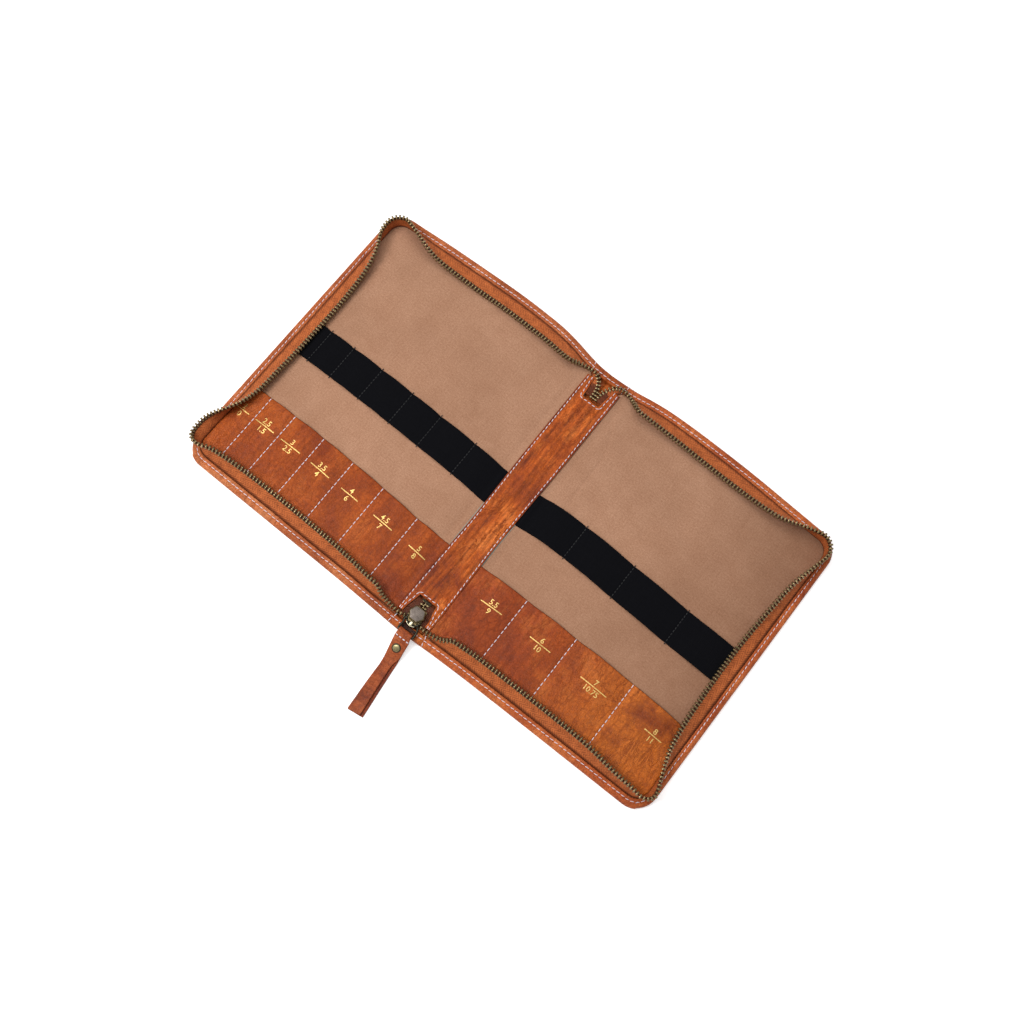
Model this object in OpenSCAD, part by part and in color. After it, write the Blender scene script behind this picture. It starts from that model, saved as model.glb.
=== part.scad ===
// Zip-round leather case for knitting needles, lying open and flat.
// X runs across the case, Y along its spine towards the joined end of the zip, Z up.
// The origin is on the table under the middle of the spine. Millimetres.

/* [Case outline] */
// width of the open case, edge to edge
open_w = 363; // [355:1:380]
// height of the case along the spine
case_h = 215; // [210:1:230]
// outer corner radius
corner_r = 15.5; // [13:0.5:20]
// distance between the two fold lines
spine_w = 30; // [30:0.5:33]
// how far the top edge dips in at the spine
top_dip = 3.7; // [3.2:0.1:4.4]
// how far the top edge of each half arches out between spine and corner
top_arch = 3; // [1:0.1:4]
// how far the bottom edge bulges out at the spine
bottom_bulge = 1.5; // [1:0.1:1.8]

/* [Covers] */
// thickness of the outer leather
leather_t = 1.4; // [1.2:0.1:1.5]
// width of the leather turned over onto the inside
rim_w = 6.2; // [5.8:0.1:6.4]
// height of the turned edge above the table
rim_h = 4.8; // [4.6:0.1:5]
// stiffening board
board_t = 2; // [1.8:0.1:2.1]
// cotton lining
lining_t = 0.6; // [0.4:0.1:0.7]

/* [Pockets and straps] */
// line of the pocket mouths, measured down from the middle
pocket_mouth = 46.5; // [40:0.5:52]
// leather of the pocket panel
panel_t = 1.2; // [1:0.1:1.3]
// how far a pocket mouth stands open
pocket_rise = 1.7; // [0.6:0.1:2]
// width of the elastic straps
elastic_w = 25; // [20:1:30]
// thickness of the elastic
elastic_t = 1.1; // [0.8:0.1:1.2]
// how far a strap loop stands open
elastic_rise = 1.6; // [0.6:0.1:2]

/* [Zip] */
// spacing of the teeth along one tape
tooth_pitch = 2.4; // [2.2:0.1:3]
// width of a tooth along the tape
tooth_w = 1.2; // [1:0.1:1.4]
// length of a tooth, across the tape's edge
tooth_l = 3; // [2.6:0.1:3.2]
// thickness of the woven tape
tape_t = 0.8; // [0.6:0.1:0.9]
// length of the free tape from its fold to the edge that carries the teeth
tape_l = 9.4; // [8:0.1:9.6]
// lean of the tape where the bottom edge meets a corner, in degrees
corner_lean_bottom = 16; // [0:1:20]
// lean where the side edge meets a corner, below zero for outwards
corner_lean_side = -30; // [-34:1:0]
// lean where the top edge meets a corner
corner_lean_top = -15; // [-20:1:0]
// inward lean of the left tape: bottom, side and top edge, in degrees
left_lean_bottom = 47; // [20:1:55]
left_lean_side = 60; // [30:1:68]
left_lean_top = 70; // [20:1:74]
// inward lean of the right tape: bottom, side and top edge, in degrees
right_lean_bottom = 45; // [20:1:55]
right_lean_side = 72; // [30:1:74]
right_lean_top = 68; // [20:1:74]

/* [Spine] */
// width of the inner leather strip
strip_w = 26; // [25:0.2:26.2]
// thickness of the inner leather strip
strip_t = 1.2; // [1:0.1:1.3]
// width of the notch at each end of the strip
notch_w = 12.6; // [12.4:0.1:13]
// depth of the notch at each end of the strip
notch_d = 13.6; // [13:0.2:14.4]

/* [Slider and pull] */
// radius of the round cap on the slider
cap_r = 5.2; // [4.6:0.1:5.2]
// height of the cap's straight side
cap_side = 2.4; // [1.6:0.1:2.6]
// height of the cap's flat dome
cap_h = 0.9; // [0.6:0.1:1.4]
// radius of the bail wire
wire_r = 0.75; // [0.6:0.05:0.75]
// distance from the bail's pivot to its cross bar
bail_l = 8.1; // [7.8:0.1:9]
// how far the bail's cross bar hangs to one side
tab_side = 1.9; // [0:0.1:2]
// width of the leather pull tab
tab_w = 11; // [9:0.5:12]
// length of the pull tab from the cross bar
tab_l = 54; // [46:1:60]
// thickness of the folded pull tab
tab_t = 2.2; // [1.8:0.1:2.4]
// how far the tab swings to one side of straight, in degrees
tab_skew = 6.5; // [0:0.5:9]

/* [Hidden] */
half_w = open_w / 2;
hinge_x = spine_w / 2;
// half the gap between a cover and the spine at the fold line
fold_gap = 0.15;
// points along an edge, round a corner, across one pocket and up a pocket
edge_n = 18;
arc_n = 8;
arch_n = 8;
row_n = 6;
// distance over which the dip and the bulge fade out
fade_w = 36;
// where the arch of the top edge starts to fall towards the corner
arch_x = 50;

board_top = leather_t + board_t;
lining_top = board_top + lining_t;
// flat chain on the spine: teeth lie around the tape
flat_tape_t = 0.6;
flat_tape_z = leather_t + 2.2;
strip_z = flat_tape_z + flat_tape_t;
strip_top = strip_z + strip_t;
flat_tooth_h = 2.4;
flat_tooth_z = flat_tape_z + flat_tape_t / 2 - flat_tooth_h / 2;
// inner layers of a half start here, so that the spine can fold up against them
gutter_x = hinge_x + max(strip_top, rim_h) - leather_t + 0.4;

// the tape rises straight to its fold and then leans
tape_inset = rim_w + 0.15 + tape_t / 2;
tape_fold_z = lining_top + max(elastic_t, panel_t) + 0.2;
inner_inset = rim_w + tape_t + 0.5;
// highest point allowed under the middle plane of the closed case
tip_z = leather_t + hinge_x - 0.3;
// how far a tooth reaches past the tape, and the lowest it may start
tooth_past = 1.2;
tape_full = min(tape_l, tip_z - tape_fold_z - tooth_past);
tape_least = tooth_l - tooth_past + 0.2;
// the tape keeps under a line rising from the fold, clear of the folded slider
fold_slope = 0.75;
tape_start_x = hinge_x + (tape_fold_z + tape_least + tooth_past + 0.15 - leather_t) / fold_slope;
tooth_thick = 2.2;

// stitched lines across the pockets and the straps, as shares of a half's width
left_lines = [0.138, 0.312, 0.464, 0.611, 0.753, 0.871];
right_lines = [0.196, 0.427, 0.692];

corner_x = half_w - corner_r;
corner_y = case_h / 2 - corner_r;
spine_top = case_h / 2 - top_dip;
spine_bottom = case_h / 2 + bottom_bulge;

strip_end_bottom = spine_bottom - rim_w - 3.8;
strip_end_top = spine_top - rim_w - 3.2;
notch_bottom = strip_end_bottom - notch_d;
notch_top = strip_end_top - notch_d;

// slider, placed from the inner lip of the bottom edge
slide_travel = 4;
nose_y = -(spine_bottom - rim_w - 0.6);
slider_l = 11;
slider_hw = 5.3;
plate_z = leather_t + 0.2;
lower_top = flat_tooth_z - 0.2;
upper_z = flat_tooth_z + flat_tooth_h + 0.2;
plate_t = 1;
deck_z = upper_z + plate_t;
mouth_l = 4;
cap_y = nose_y + cap_r + 0.75 + 0.05;
pivot_y = nose_y + 0.85;
pivot_z = deck_z + 1.1;
ear_in = 3.4;
ear_out = 4.3;
// the legs slant, so they stand further off the ears than a straight leg would
leg_x = ear_out + 0.15 + 0.17 * tab_side + wire_r;
// the nose ring in front of the post, which bridges the lip of the rim
ring_r = 5.2;
ring_w = 1.1;
ring_y = nose_y + ring_r - 1.8;

// pull tab, hung on the bail's cross bar
bar_y = pivot_y - bail_l;
loop_in = wire_r + 0.15;
loop_wall = tab_t / 2;
loop_out = loop_in + loop_wall;
bar_z = rim_h + 0.9 + loop_out;
loop_hw = leg_x - wire_r - 0.25 - loop_out * tab_side / bail_l;
tab_run = 22;
tab_drop = bar_z - tab_t / 2;
tab_n = 10;
rivet_share = 0.32;

// ---- shared functions ----

// smooth step from 0 to 1
function ease(t) = t <= 0 ? 0 : t >= 1 ? 1 : t * t * (3 - 2 * t);

// 1 at the spine, fading to 0 along the top and bottom edges
function near_spine(x) = 1 - ease((x - hinge_x) / fade_w);

function y_low(x) = -case_h / 2 - bottom_bulge * near_spine(x);
function y_high(x) = case_h / 2 - top_dip * near_spine(x)
  + top_arch * (1 - near_spine(x)) * (1 - ease((x - arch_x) / (corner_x - arch_x)));

// outline of the right half from x0 outwards, drawn in by d
function half_outline(x0, d) = concat(
  [for (i = [0:edge_n - 1]) let (x = x0 + (corner_x - x0) * pow(i / edge_n, 1.4)) [x, y_low(x) + d]],
  [for (i = [0:arc_n]) let (a = 90 * i / arc_n - 90)
    [corner_x + (corner_r - d) * cos(a), (corner_r - d) * sin(a) - corner_y]],
  [for (i = [0:arc_n]) let (a = 90 * i / arc_n)
    [corner_x + (corner_r - d) * cos(a), (corner_r - d) * sin(a) + corner_y]],
  [for (i = [edge_n - 1:-1:0]) let (x = x0 + (corner_x - x0) * pow(i / edge_n, 1.4)) [x, y_high(x) - d]]
);

// share of the corner's lean in the lean at x, rising to 1 at the corner
function at_corner(x) = ease((x - corner_x + 32) / 32);

// lean along the top or bottom edge, from the share near at the spine to the corner's lean
function lean_x(full, near, corner, x) = corner * at_corner(x)
  + full * (near + (1 - near) * ease((x - tape_start_x) / 44)) * (1 - at_corner(x));

// lean of the tape along the side edge
function lean_y(full, y) = corner_lean_side
  + (full - corner_lean_side) * (abs(y) >= corner_y ? 0 : pow(cos(90 * y / corner_y), 1.3));

// length of the leaning tape at x, cut short near the fold line
function tape_len(x, lean) =
  min(tape_full, (leather_t + fold_slope * (x - hinge_x) - 0.15 - tape_fold_z) / cos(lean) - tooth_past);

// stations round one half: x, y, heading of the tangent, lean
function bottom_run(n, full) = [for (i = [0:n - 1])
  let (x = tape_start_x + (corner_x - tape_start_x) * i / n)
  [x, y_low(x) + tape_inset, 0, lean_x(full, 0.1, corner_lean_bottom, x)]];
function arc_run(n, a0, cy, first, last) = [for (i = [0:n - 1])
  let (a = a0 + 90 * i / n, r = corner_r - tape_inset)
  [corner_x + r * cos(a), cy + r * sin(a), a + 90, first + (last - first) * ease(i / n)]];
function side_run(n, full) = [for (i = [0:n - 1])
  let (y = 2 * corner_y * i / n - corner_y)
  [half_w - tape_inset, y, 90, lean_y(full, y)]];
function top_run(n, full) = [for (i = [0:n])
  let (x = corner_x + (tape_start_x - corner_x) * i / n)
  [x, y_high(x) - tape_inset, 180, lean_x(full, 0.6, corner_lean_top, x)]];

// steps round one corner of the tape
function arc_steps(step) = max(3, round((corner_r - tape_inset) * 1.57 / step));

function stations(step, low, side, high) = concat(
  bottom_run(round((corner_x - tape_start_x) / step), low),
  arc_run(arc_steps(step), -90, -corner_y, corner_lean_bottom, corner_lean_side),
  side_run(round(2 * corner_y / step), side),
  arc_run(arc_steps(step), 0, corner_y, corner_lean_side, corner_lean_top),
  top_run(round((corner_x - tape_start_x) / step), high)
);

// one corner of the tape's section: station, inward offset, height
function tape_pt(s, inward, z) = [s[0] - inward * sin(s[2]), s[1] + inward * cos(s[2]), z];

// the six corners of the tape's section at a station
function tape_section(s) = let (l = tape_len(s[0], s[3]), h = tape_t / 2, a = s[3]) [
  tape_pt(s, -h, lining_top),
  tape_pt(s, h, lining_top),
  tape_pt(s, h, tape_fold_z),
  tape_pt(s, l * sin(a) + h * cos(a), tape_fold_z + l * cos(a) - h * sin(a)),
  tape_pt(s, l * sin(a) - h * cos(a), tape_fold_z + l * cos(a) + h * sin(a)),
  tape_pt(s, -h, tape_fold_z)
];

// faces of a bar of n sections with m corners each
function bar_faces(n, m) = concat(
  [[for (j = [0:m - 1]) j]],
  [for (i = [0:n - 2], j = [0:m - 1]) let (k = (j + 1) % m)
    each [[i * m + j, (i + 1) * m + k, i * m + k], [i * m + j, (i + 1) * m + j, (i + 1) * m + k]]],
  [[for (j = [m - 1:-1:0]) (n - 1) * m + j]]
);

// x positions of the seams across a half: gutter, stitched lines, outer end
function seams(lines, x_end) =
  concat([gutter_x], [for (s = lines) hinge_x + s * (half_w - hinge_x)], [x_end]);

// x samples between seams, and the share of the way through the present arch
function samples(s) = concat(
  [for (k = [0:len(s) - 2], i = [0:arch_n - 1]) [s[k] + (s[k + 1] - s[k]) * i / arch_n, i / arch_n, s[k + 1] - s[k]]],
  [[s[len(s) - 1], 0, 1]]
);

// height of an arch between two seams
function arch(rise, share, width) = min(rise, width * 0.07) * pow(sin(180 * share), 2);

// lower edge of the pocket panel at x, following the corner
function panel_low(x) = x <= corner_x ? y_low(x) + inner_inset
  : -corner_y - sqrt(max(0, pow(corner_r - inner_inset, 2) - pow(x - corner_x, 2)));

// ---- pieces shared by both halves ----

module half_plate(x0, d, z0, z1) {
  translate([0, 0, z0]) linear_extrude(z1 - z0) polygon(half_outline(x0, d));
}

// turned leather edge with eased shoulders, open towards the spine
module half_rim() {
  difference() {
    union() {
      half_plate(gutter_x, 0, leather_t, rim_h - 0.7);
      half_plate(gutter_x, 0.7, rim_h - 0.7, rim_h);
    }
    half_plate(gutter_x - 1, rim_w, leather_t, rim_h + 1);
  }
}

module half_cover() {
  union() {
    half_plate(hinge_x + fold_gap, 0.6, 0, 0.6);
    half_plate(hinge_x + fold_gap, 0, 0.6, leather_t);
    half_rim();
  }
}

module half_pockets(lines) {
  pts = samples(seams(lines, half_w - inner_inset));
  n = len(pts);
  m = row_n + 1;
  lower = [for (p = pts, j = [0:row_n]) let (v = j / row_n, y0 = panel_low(p[0]))
    [p[0], y0 + v * (-pocket_mouth - y0), lining_top + arch(pocket_rise, p[1], p[2]) * ease(v)]];
  upper = [for (p = lower) p + [0, 0, panel_t]];
  k = n * m;
  polyhedron(concat(lower, upper), concat(
    [for (i = [0:n - 2], j = [0:m - 2]) each [
      [i * m + j, (i + 1) * m + j + 1, (i + 1) * m + j], [i * m + j, i * m + j + 1, (i + 1) * m + j + 1],
      [k + i * m + j, k + (i + 1) * m + j, k + (i + 1) * m + j + 1],
      [k + i * m + j, k + (i + 1) * m + j + 1, k + i * m + j + 1]]],
    [for (i = [0:n - 2]) each [
      [i * m, (i + 1) * m, k + (i + 1) * m], [i * m, k + (i + 1) * m, k + i * m],
      [i * m + m - 1, k + (i + 1) * m + m - 1, (i + 1) * m + m - 1],
      [i * m + m - 1, k + i * m + m - 1, k + (i + 1) * m + m - 1]]],
    [for (j = [0:m - 2]) each [
      [j, k + j, k + j + 1], [j, k + j + 1, j + 1],
      [(n - 1) * m + j, k + (n - 1) * m + j + 1, k + (n - 1) * m + j],
      [(n - 1) * m + j, (n - 1) * m + j + 1, k + (n - 1) * m + j + 1]]]
  ));
}

module half_elastic(lines) {
  pts = samples(seams(lines, half_w - inner_inset));
  under = [for (p = pts) [p[0], lining_top + arch(elastic_rise, p[1], p[2])]];
  over = [for (i = [len(pts) - 1:-1:0]) [under[i][0], under[i][1] + elastic_t]];
  translate([0, elastic_w / 2, 0]) rotate([90, 0, 0]) linear_extrude(elastic_w)
    polygon(concat(under, over));
}

module half_tape(low, side, high) {
  st = stations(4, low, side, high);
  polyhedron([for (s = st) each tape_section(s)], bar_faces(len(st), 6));
}

// one tooth clamped over the edge of the tape at a station
module tooth_at(s) {
  up = tape_len(s[0], s[3]) + tooth_past - tooth_l / 2;
  translate([s[0], s[1], tape_fold_z]) rotate([0, 0, s[2]]) rotate([-s[3], 0, 0])
    translate([-tooth_w / 2, -tooth_thick / 2, up - tooth_l / 2]) cube([tooth_w, tooth_thick, tooth_l]);
}

module half_teeth(low, side, high) {
  for (s = stations(tooth_pitch, low, side, high)) tooth_at(s);
}

// ---- left half ----

module left_cover() {
  color([0.62, 0.28, 0.12]) mirror([1, 0, 0]) half_cover();
}
module left_board() {
  color([0.5, 0.48, 0.44]) mirror([1, 0, 0]) half_plate(gutter_x, rim_w, leather_t, board_top);
}
module left_lining() {
  color([0.71, 0.54, 0.42]) mirror([1, 0, 0]) half_plate(gutter_x, rim_w, board_top, lining_top);
}
module left_pockets() {
  color([0.66, 0.29, 0.13]) mirror([1, 0, 0]) half_pockets(left_lines);
}
module left_elastic() {
  color([0.05, 0.05, 0.06]) mirror([1, 0, 0]) half_elastic(left_lines);
}
module left_tape() {
  color([0.66, 0.3, 0.1]) mirror([1, 0, 0]) half_tape(left_lean_bottom, left_lean_side, left_lean_top);
}
module left_teeth() {
  color([0.42, 0.36, 0.22]) mirror([1, 0, 0]) half_teeth(left_lean_bottom, left_lean_side, left_lean_top);
}

// ---- right half ----

module right_cover() {
  color([0.62, 0.28, 0.12]) half_cover();
}
module right_board() {
  color([0.5, 0.48, 0.44]) half_plate(gutter_x, rim_w, leather_t, board_top);
}
module right_lining() {
  color([0.71, 0.54, 0.42]) half_plate(gutter_x, rim_w, board_top, lining_top);
}
module right_pockets() {
  color([0.6, 0.24, 0.11]) half_pockets(right_lines);
}
module right_elastic() {
  color([0.05, 0.05, 0.06]) half_elastic(right_lines);
}
module right_tape() {
  color([0.66, 0.3, 0.1]) half_tape(right_lean_bottom, right_lean_side, right_lean_top);
}
module right_teeth() {
  color([0.42, 0.36, 0.22]) half_teeth(right_lean_bottom, right_lean_side, right_lean_top);
}

// ---- spine ----

// block between two y values, centred on the spine
module spine_block(hw, y0, y1, z0, z1) {
  translate([-hw, y0, z0]) cube([2 * hw, y1 - y0, z1 - z0]);
}

module spine_cover() {
  hw = hinge_x - fold_gap;
  color([0.64, 0.29, 0.12]) union() {
    spine_block(hw, 0.6 - spine_bottom, spine_top - 0.6, 0, 0.6);
    spine_block(hw, -spine_bottom, spine_top, 0.6, leather_t);
    spine_block(hw, -spine_bottom, rim_w - spine_bottom, leather_t, rim_h - 0.7);
    spine_block(hw, 0.7 - spine_bottom, rim_w - spine_bottom, rim_h - 0.7, rim_h);
    spine_block(hw, spine_top - rim_w, spine_top, leather_t, rim_h - 0.7);
    spine_block(hw, spine_top - rim_w, spine_top - 0.7, rim_h - 0.7, rim_h);
  }
}

module spine_board() {
  hw = strip_w / 2 - 0.6;
  color([0.5, 0.48, 0.44]) difference() {
    spine_block(hw, 2 - strip_end_bottom, strip_end_top - 2, leather_t, strip_z);
    spine_block(notch_w / 2, -strip_end_bottom, -notch_bottom + 1, leather_t - 1, strip_z + 1);
    spine_block(notch_w / 2, notch_top - 1, strip_end_top, leather_t - 1, strip_z + 1);
    spine_block(9.2, -strip_end_bottom, -notch_bottom + 8, flat_tape_z, strip_z + 1);
    spine_block(9.2, notch_top - 8, strip_end_top, flat_tape_z, strip_z + 1);
  }
}

module spine_strip() {
  color([0.7, 0.33, 0.13]) difference() {
    spine_block(strip_w / 2, -strip_end_bottom, strip_end_top, strip_z, strip_top);
    spine_block(notch_w / 2, -strip_end_bottom - 1, -notch_bottom, strip_z - 1, strip_top + 1);
    spine_block(notch_w / 2, notch_top, strip_end_top + 1, strip_z - 1, strip_top + 1);
  }
}

// one side of a flat zip end: a leg under the strip and an arm along the lip
module flat_tape_side(side, y_in, y_bend, y_out) {
  lo = min(y_in, y_bend);
  hi = max(y_in, y_bend);
  arm_lo = min(y_bend, y_out);
  arm_hi = max(y_bend, y_out);
  x0 = side > 0 ? 1.6 : -9;
  x1 = side > 0 ? 1.6 : -11.5;
  translate([x0, lo, flat_tape_z]) cube([7.4, hi - lo, flat_tape_t]);
  translate([x1, arm_lo, flat_tape_z]) cube([9.9, arm_hi - arm_lo, flat_tape_t]);
}

// a flat tooth reaching across the middle from one side
module meshed_tooth(side, y) {
  translate([side > 0 ? -0.6 : -2.9, y - 0.5, flat_tooth_z]) cube([3.5, 1, flat_tooth_h]);
}

module bottom_tape() {
  color([0.66, 0.3, 0.1]) for (side = [-1, 1])
    flat_tape_side(side, -notch_bottom + 7, -strip_end_bottom + 1, -(spine_bottom - rim_w - 0.5));
}

module bottom_teeth() {
  y0 = nose_y + slider_l - mouth_l + slide_travel - 2.6;
  n = floor((-notch_bottom - 2.2 - y0) / 1.2);
  color([0.42, 0.36, 0.22]) {
    for (i = [0:n]) meshed_tooth(i % 2 == 0 ? 1 : -1, y0 + 1.2 * i);
    for (side = [-1, 1], i = [0:2])
      translate([side * (4.8 + tooth_pitch * i) - tooth_w / 2, -(spine_bottom - rim_w - 0.2), flat_tooth_z])
        cube([tooth_w, 2.7, flat_tooth_h]);
  }
}

module bottom_stop() {
  color([0.45, 0.38, 0.22]) translate([-3.2, -notch_bottom - 1.5, flat_tooth_z])
    cube([6.4, 1.3, flat_tooth_h]);
}

module top_tape() {
  color([0.66, 0.3, 0.1]) for (side = [-1, 1])
    flat_tape_side(side, notch_top - 7, strip_end_top - 1, spine_top - rim_w - 0.3);
}

module top_teeth() {
  n = floor((notch_d - 3) / 1.2);
  color([0.42, 0.36, 0.22]) {
    for (i = [0:n]) meshed_tooth(i % 2 == 0 ? 1 : -1, notch_top + 1 + 1.2 * i);
    for (side = [-1, 1], i = [0:2])
      translate([side * (4.8 + tooth_pitch * i) - tooth_w / 2, spine_top - rim_w - 2.8, flat_tooth_z])
        cube([tooth_w, 2.6, flat_tooth_h]);
  }
}

// ---- slider ----

// plate of the slider, wide at the mouth and narrower at the back
module slider_plate(z0, z1, front) {
  translate([0, 0, z0]) linear_extrude(z1 - z0) polygon([
    [-slider_hw, front], [slider_hw, front], [slider_hw, nose_y + slider_l * 0.7],
    [slider_hw - 0.6, nose_y + slider_l], [0.6 - slider_hw, nose_y + slider_l],
    [-slider_hw, nose_y + slider_l * 0.7]]);
}

// half ring in front of the slider, over the lip of the rim
module nose_ring() {
  translate([0, ring_y, upper_z]) difference() {
    cylinder(r = ring_r, h = plate_t, $fn = 64);
    translate([0, 0, -1]) cylinder(r = ring_r - ring_w, h = plate_t + 2, $fn = 64);
    translate([-ring_r - 1, nose_y - ring_y + 0.5, -1]) cube([2 * ring_r + 2, 2 * ring_r, plate_t + 2]);
  }
}

module slider_body() {
  post_y = nose_y + mouth_l - 1.6;
  color([0.36, 0.3, 0.24]) difference() {
    union() {
      slider_plate(plate_z, lower_top, nose_y + 0.8);
      slider_plate(upper_z, deck_z, nose_y);
      nose_ring();
      translate([-0.8, ring_y - ring_r + 0.3, upper_z]) cube([1.6, nose_y - ring_y + ring_r, plate_t]);
      translate([0, 0, lower_top]) linear_extrude(upper_z - lower_top)
        polygon([[0, post_y - 1.3], [1, post_y], [0, post_y + 1.3], [-1, post_y]]);
      for (side = [-1, 1], z = [lower_top, flat_tape_z + flat_tape_t + 0.2])
        translate([side * 4.1 - 0.8, nose_y + mouth_l, z]) cube([1.6, slider_l - mouth_l - 0.4, 0.9]);
      for (side = [-1, 1])
        translate([side * (ear_in + ear_out) / 2 - (ear_out - ear_in) / 2, nose_y, deck_z])
          cube([ear_out - ear_in, 1.7, 2.1]);
    }
    translate([-slider_hw - 1, pivot_y, pivot_z]) rotate([0, 90, 0])
      cylinder(r = wire_r + 0.05, h = 2 * slider_hw + 2, $fn = 48);
  }
}

module slider_cap() {
  ball_r = (cap_r * cap_r + cap_h * cap_h) / (2 * cap_h);
  color([0.4, 0.33, 0.26]) translate([0, cap_y, 0]) union() {
    translate([0, 0, deck_z]) cylinder(r = cap_r, h = cap_side, $fn = 64);
    intersection() {
      translate([0, 0, deck_z + cap_side]) cylinder(r = cap_r - 0.3, h = cap_h + 1, $fn = 64);
      translate([0, 0, deck_z + cap_side + cap_h - ball_r]) sphere(r = ball_r, $fn = 64);
    }
  }
}

// ---- bail and pull tab ----

module bail() {
  run = sqrt(bail_l * bail_l + tab_side * tab_side);
  leg = sqrt(run * run + pow(bar_z - pivot_z, 2));
  tilt = atan2(bar_z - pivot_z, run);
  slant = atan2(tab_side, bail_l);
  bend_r = wire_r + 0.03;
  color([0.45, 0.38, 0.26]) union() {
    for (side = [-1, 1]) {
      translate([side * leg_x, pivot_y, pivot_z]) rotate([90 - tilt, 0, slant])
        cylinder(r = wire_r, h = leg, $fn = 32);
      // each ball is turned so that its seam lies on the outside of its bend
      translate([side * leg_x, pivot_y, pivot_z]) rotate([0, 0, 90 - 45 * side])
        sphere(r = bend_r, $fn = 32);
      translate([tab_side + side * leg_x, bar_y, bar_z]) rotate([0, 0, -90 + 45 * side])
        sphere(r = bend_r, $fn = 32);
      translate([side > 0 ? ear_in : -leg_x, pivot_y, pivot_z]) rotate([0, 90, 0])
        cylinder(r = wire_r, h = leg_x - ear_in, $fn = 32);
    }
    translate([tab_side - leg_x, bar_y, bar_z]) rotate([0, 90, 0])
      cylinder(r = wire_r, h = 2 * leg_x, $fn = 32);
  }
}

// underside of the tab, a share of its run down to the table
function tab_under(share) = tab_drop * (1 - ease(share));

module pull_tab() {
  y0 = -loop_in - 0.2;
  down = [for (i = [0:tab_n]) [y0 - tab_run * i / tab_n, tab_under(i / tab_n)]];
  back = [for (i = [tab_n:-1:0]) [y0 - tab_run * i / tab_n, tab_under(i / tab_n) + tab_t]];
  side = concat(down, [[-tab_l, 0], [-tab_l, tab_t]], back);
  color([0.63, 0.29, 0.13]) translate([tab_side, 0, 0]) difference() {
    union() {
      translate([-loop_hw, bar_y, bar_z]) rotate([0, 90, 0])
        cylinder(r = loop_out, h = 2 * loop_hw, $fn = 48);
      translate([-loop_hw, bar_y - loop_out - 0.6, bar_z - tab_t / 2])
        cube([2 * loop_hw, loop_out + 0.6, tab_t]);
      translate([0, bar_y - loop_out + loop_in, 0]) rotate([0, 0, tab_skew]) translate([-tab_w / 2, 0, 0])
        rotate([90, 0, 90]) linear_extrude(tab_w) polygon(side);
    }
    translate([-loop_hw - 1, bar_y, bar_z]) rotate([0, 90, 0])
      cylinder(r = loop_in, h = 2 * loop_hw + 2, $fn = 48);
  }
}

module tab_rivet() {
  tilt = atan(6 * rivet_share * (1 - rivet_share) * tab_drop / tab_run);
  color([0.55, 0.46, 0.28]) translate([tab_side, bar_y - loop_out + loop_in, 0]) rotate([0, 0, tab_skew])
    translate([0, -loop_in - 0.2 - tab_run * rivet_share, tab_under(rivet_share)]) rotate([tilt, 0, 0])
    union() {
      translate([0, 0, -0.5]) cylinder(r = 2, h = 0.7, $fn = 40);
      cylinder(r = 1, h = tab_t, $fn = 24);
      translate([0, 0, tab_t - 0.2]) cylinder(r = 2.7, h = 0.6, $fn = 48);
      translate([0, 0, tab_t + 0.4]) cylinder(r = 2.2, h = 0.3, $fn = 48);
    }
}

left_cover();
left_board();
left_lining();
left_pockets();
left_elastic();
left_tape();
left_teeth();
right_cover();
right_board();
right_lining();
right_pockets();
right_elastic();
right_tape();
right_teeth();
spine_cover();
spine_board();
spine_strip();
bottom_tape();
bottom_teeth();
bottom_stop();
top_tape();
top_teeth();
slider_body();
slider_cap();
bail();
pull_tab();
tab_rivet();
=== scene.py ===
# %% [markdown]
# # A leather needle case, opened flat
#
# This lesson dresses the solid model of a zip-round leather case for knitting needles.
# The solids give the true places and sizes. Here each soft layer is made again as the
# maker cuts and sews it: outer leather with a turned edge, cotton lining, elastic straps,
# a pocket panel, and the zip that runs round the rim.

# %% load the frame
import math
import bpy
import bmesh
import numpy as np
from mathutils import Matrix, Vector, noise
from mathutils.bvhtree import BVHTree


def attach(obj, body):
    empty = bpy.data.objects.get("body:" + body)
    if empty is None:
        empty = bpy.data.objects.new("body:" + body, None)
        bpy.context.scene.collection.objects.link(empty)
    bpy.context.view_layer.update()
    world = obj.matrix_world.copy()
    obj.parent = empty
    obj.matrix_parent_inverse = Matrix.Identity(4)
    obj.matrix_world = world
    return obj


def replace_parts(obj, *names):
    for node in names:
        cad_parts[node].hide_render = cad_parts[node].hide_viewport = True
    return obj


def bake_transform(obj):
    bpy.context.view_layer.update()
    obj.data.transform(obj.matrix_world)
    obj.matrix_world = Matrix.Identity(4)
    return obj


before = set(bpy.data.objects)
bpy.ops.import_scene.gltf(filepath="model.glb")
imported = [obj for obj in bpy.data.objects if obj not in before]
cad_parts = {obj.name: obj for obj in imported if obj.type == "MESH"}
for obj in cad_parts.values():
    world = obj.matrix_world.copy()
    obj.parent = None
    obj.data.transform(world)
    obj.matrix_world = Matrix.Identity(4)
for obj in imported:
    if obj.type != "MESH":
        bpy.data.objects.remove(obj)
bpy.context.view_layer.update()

# %% [markdown]
# ## Sizes
#
# All sizes are in millimetres and follow the solids: 363 by 215 mm open, 15 mm from the
# middle to each fold. `MM` turns them into Blender's metres at the last moment, so the
# numbers here stay the ones that a leather worker would write down.

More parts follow.
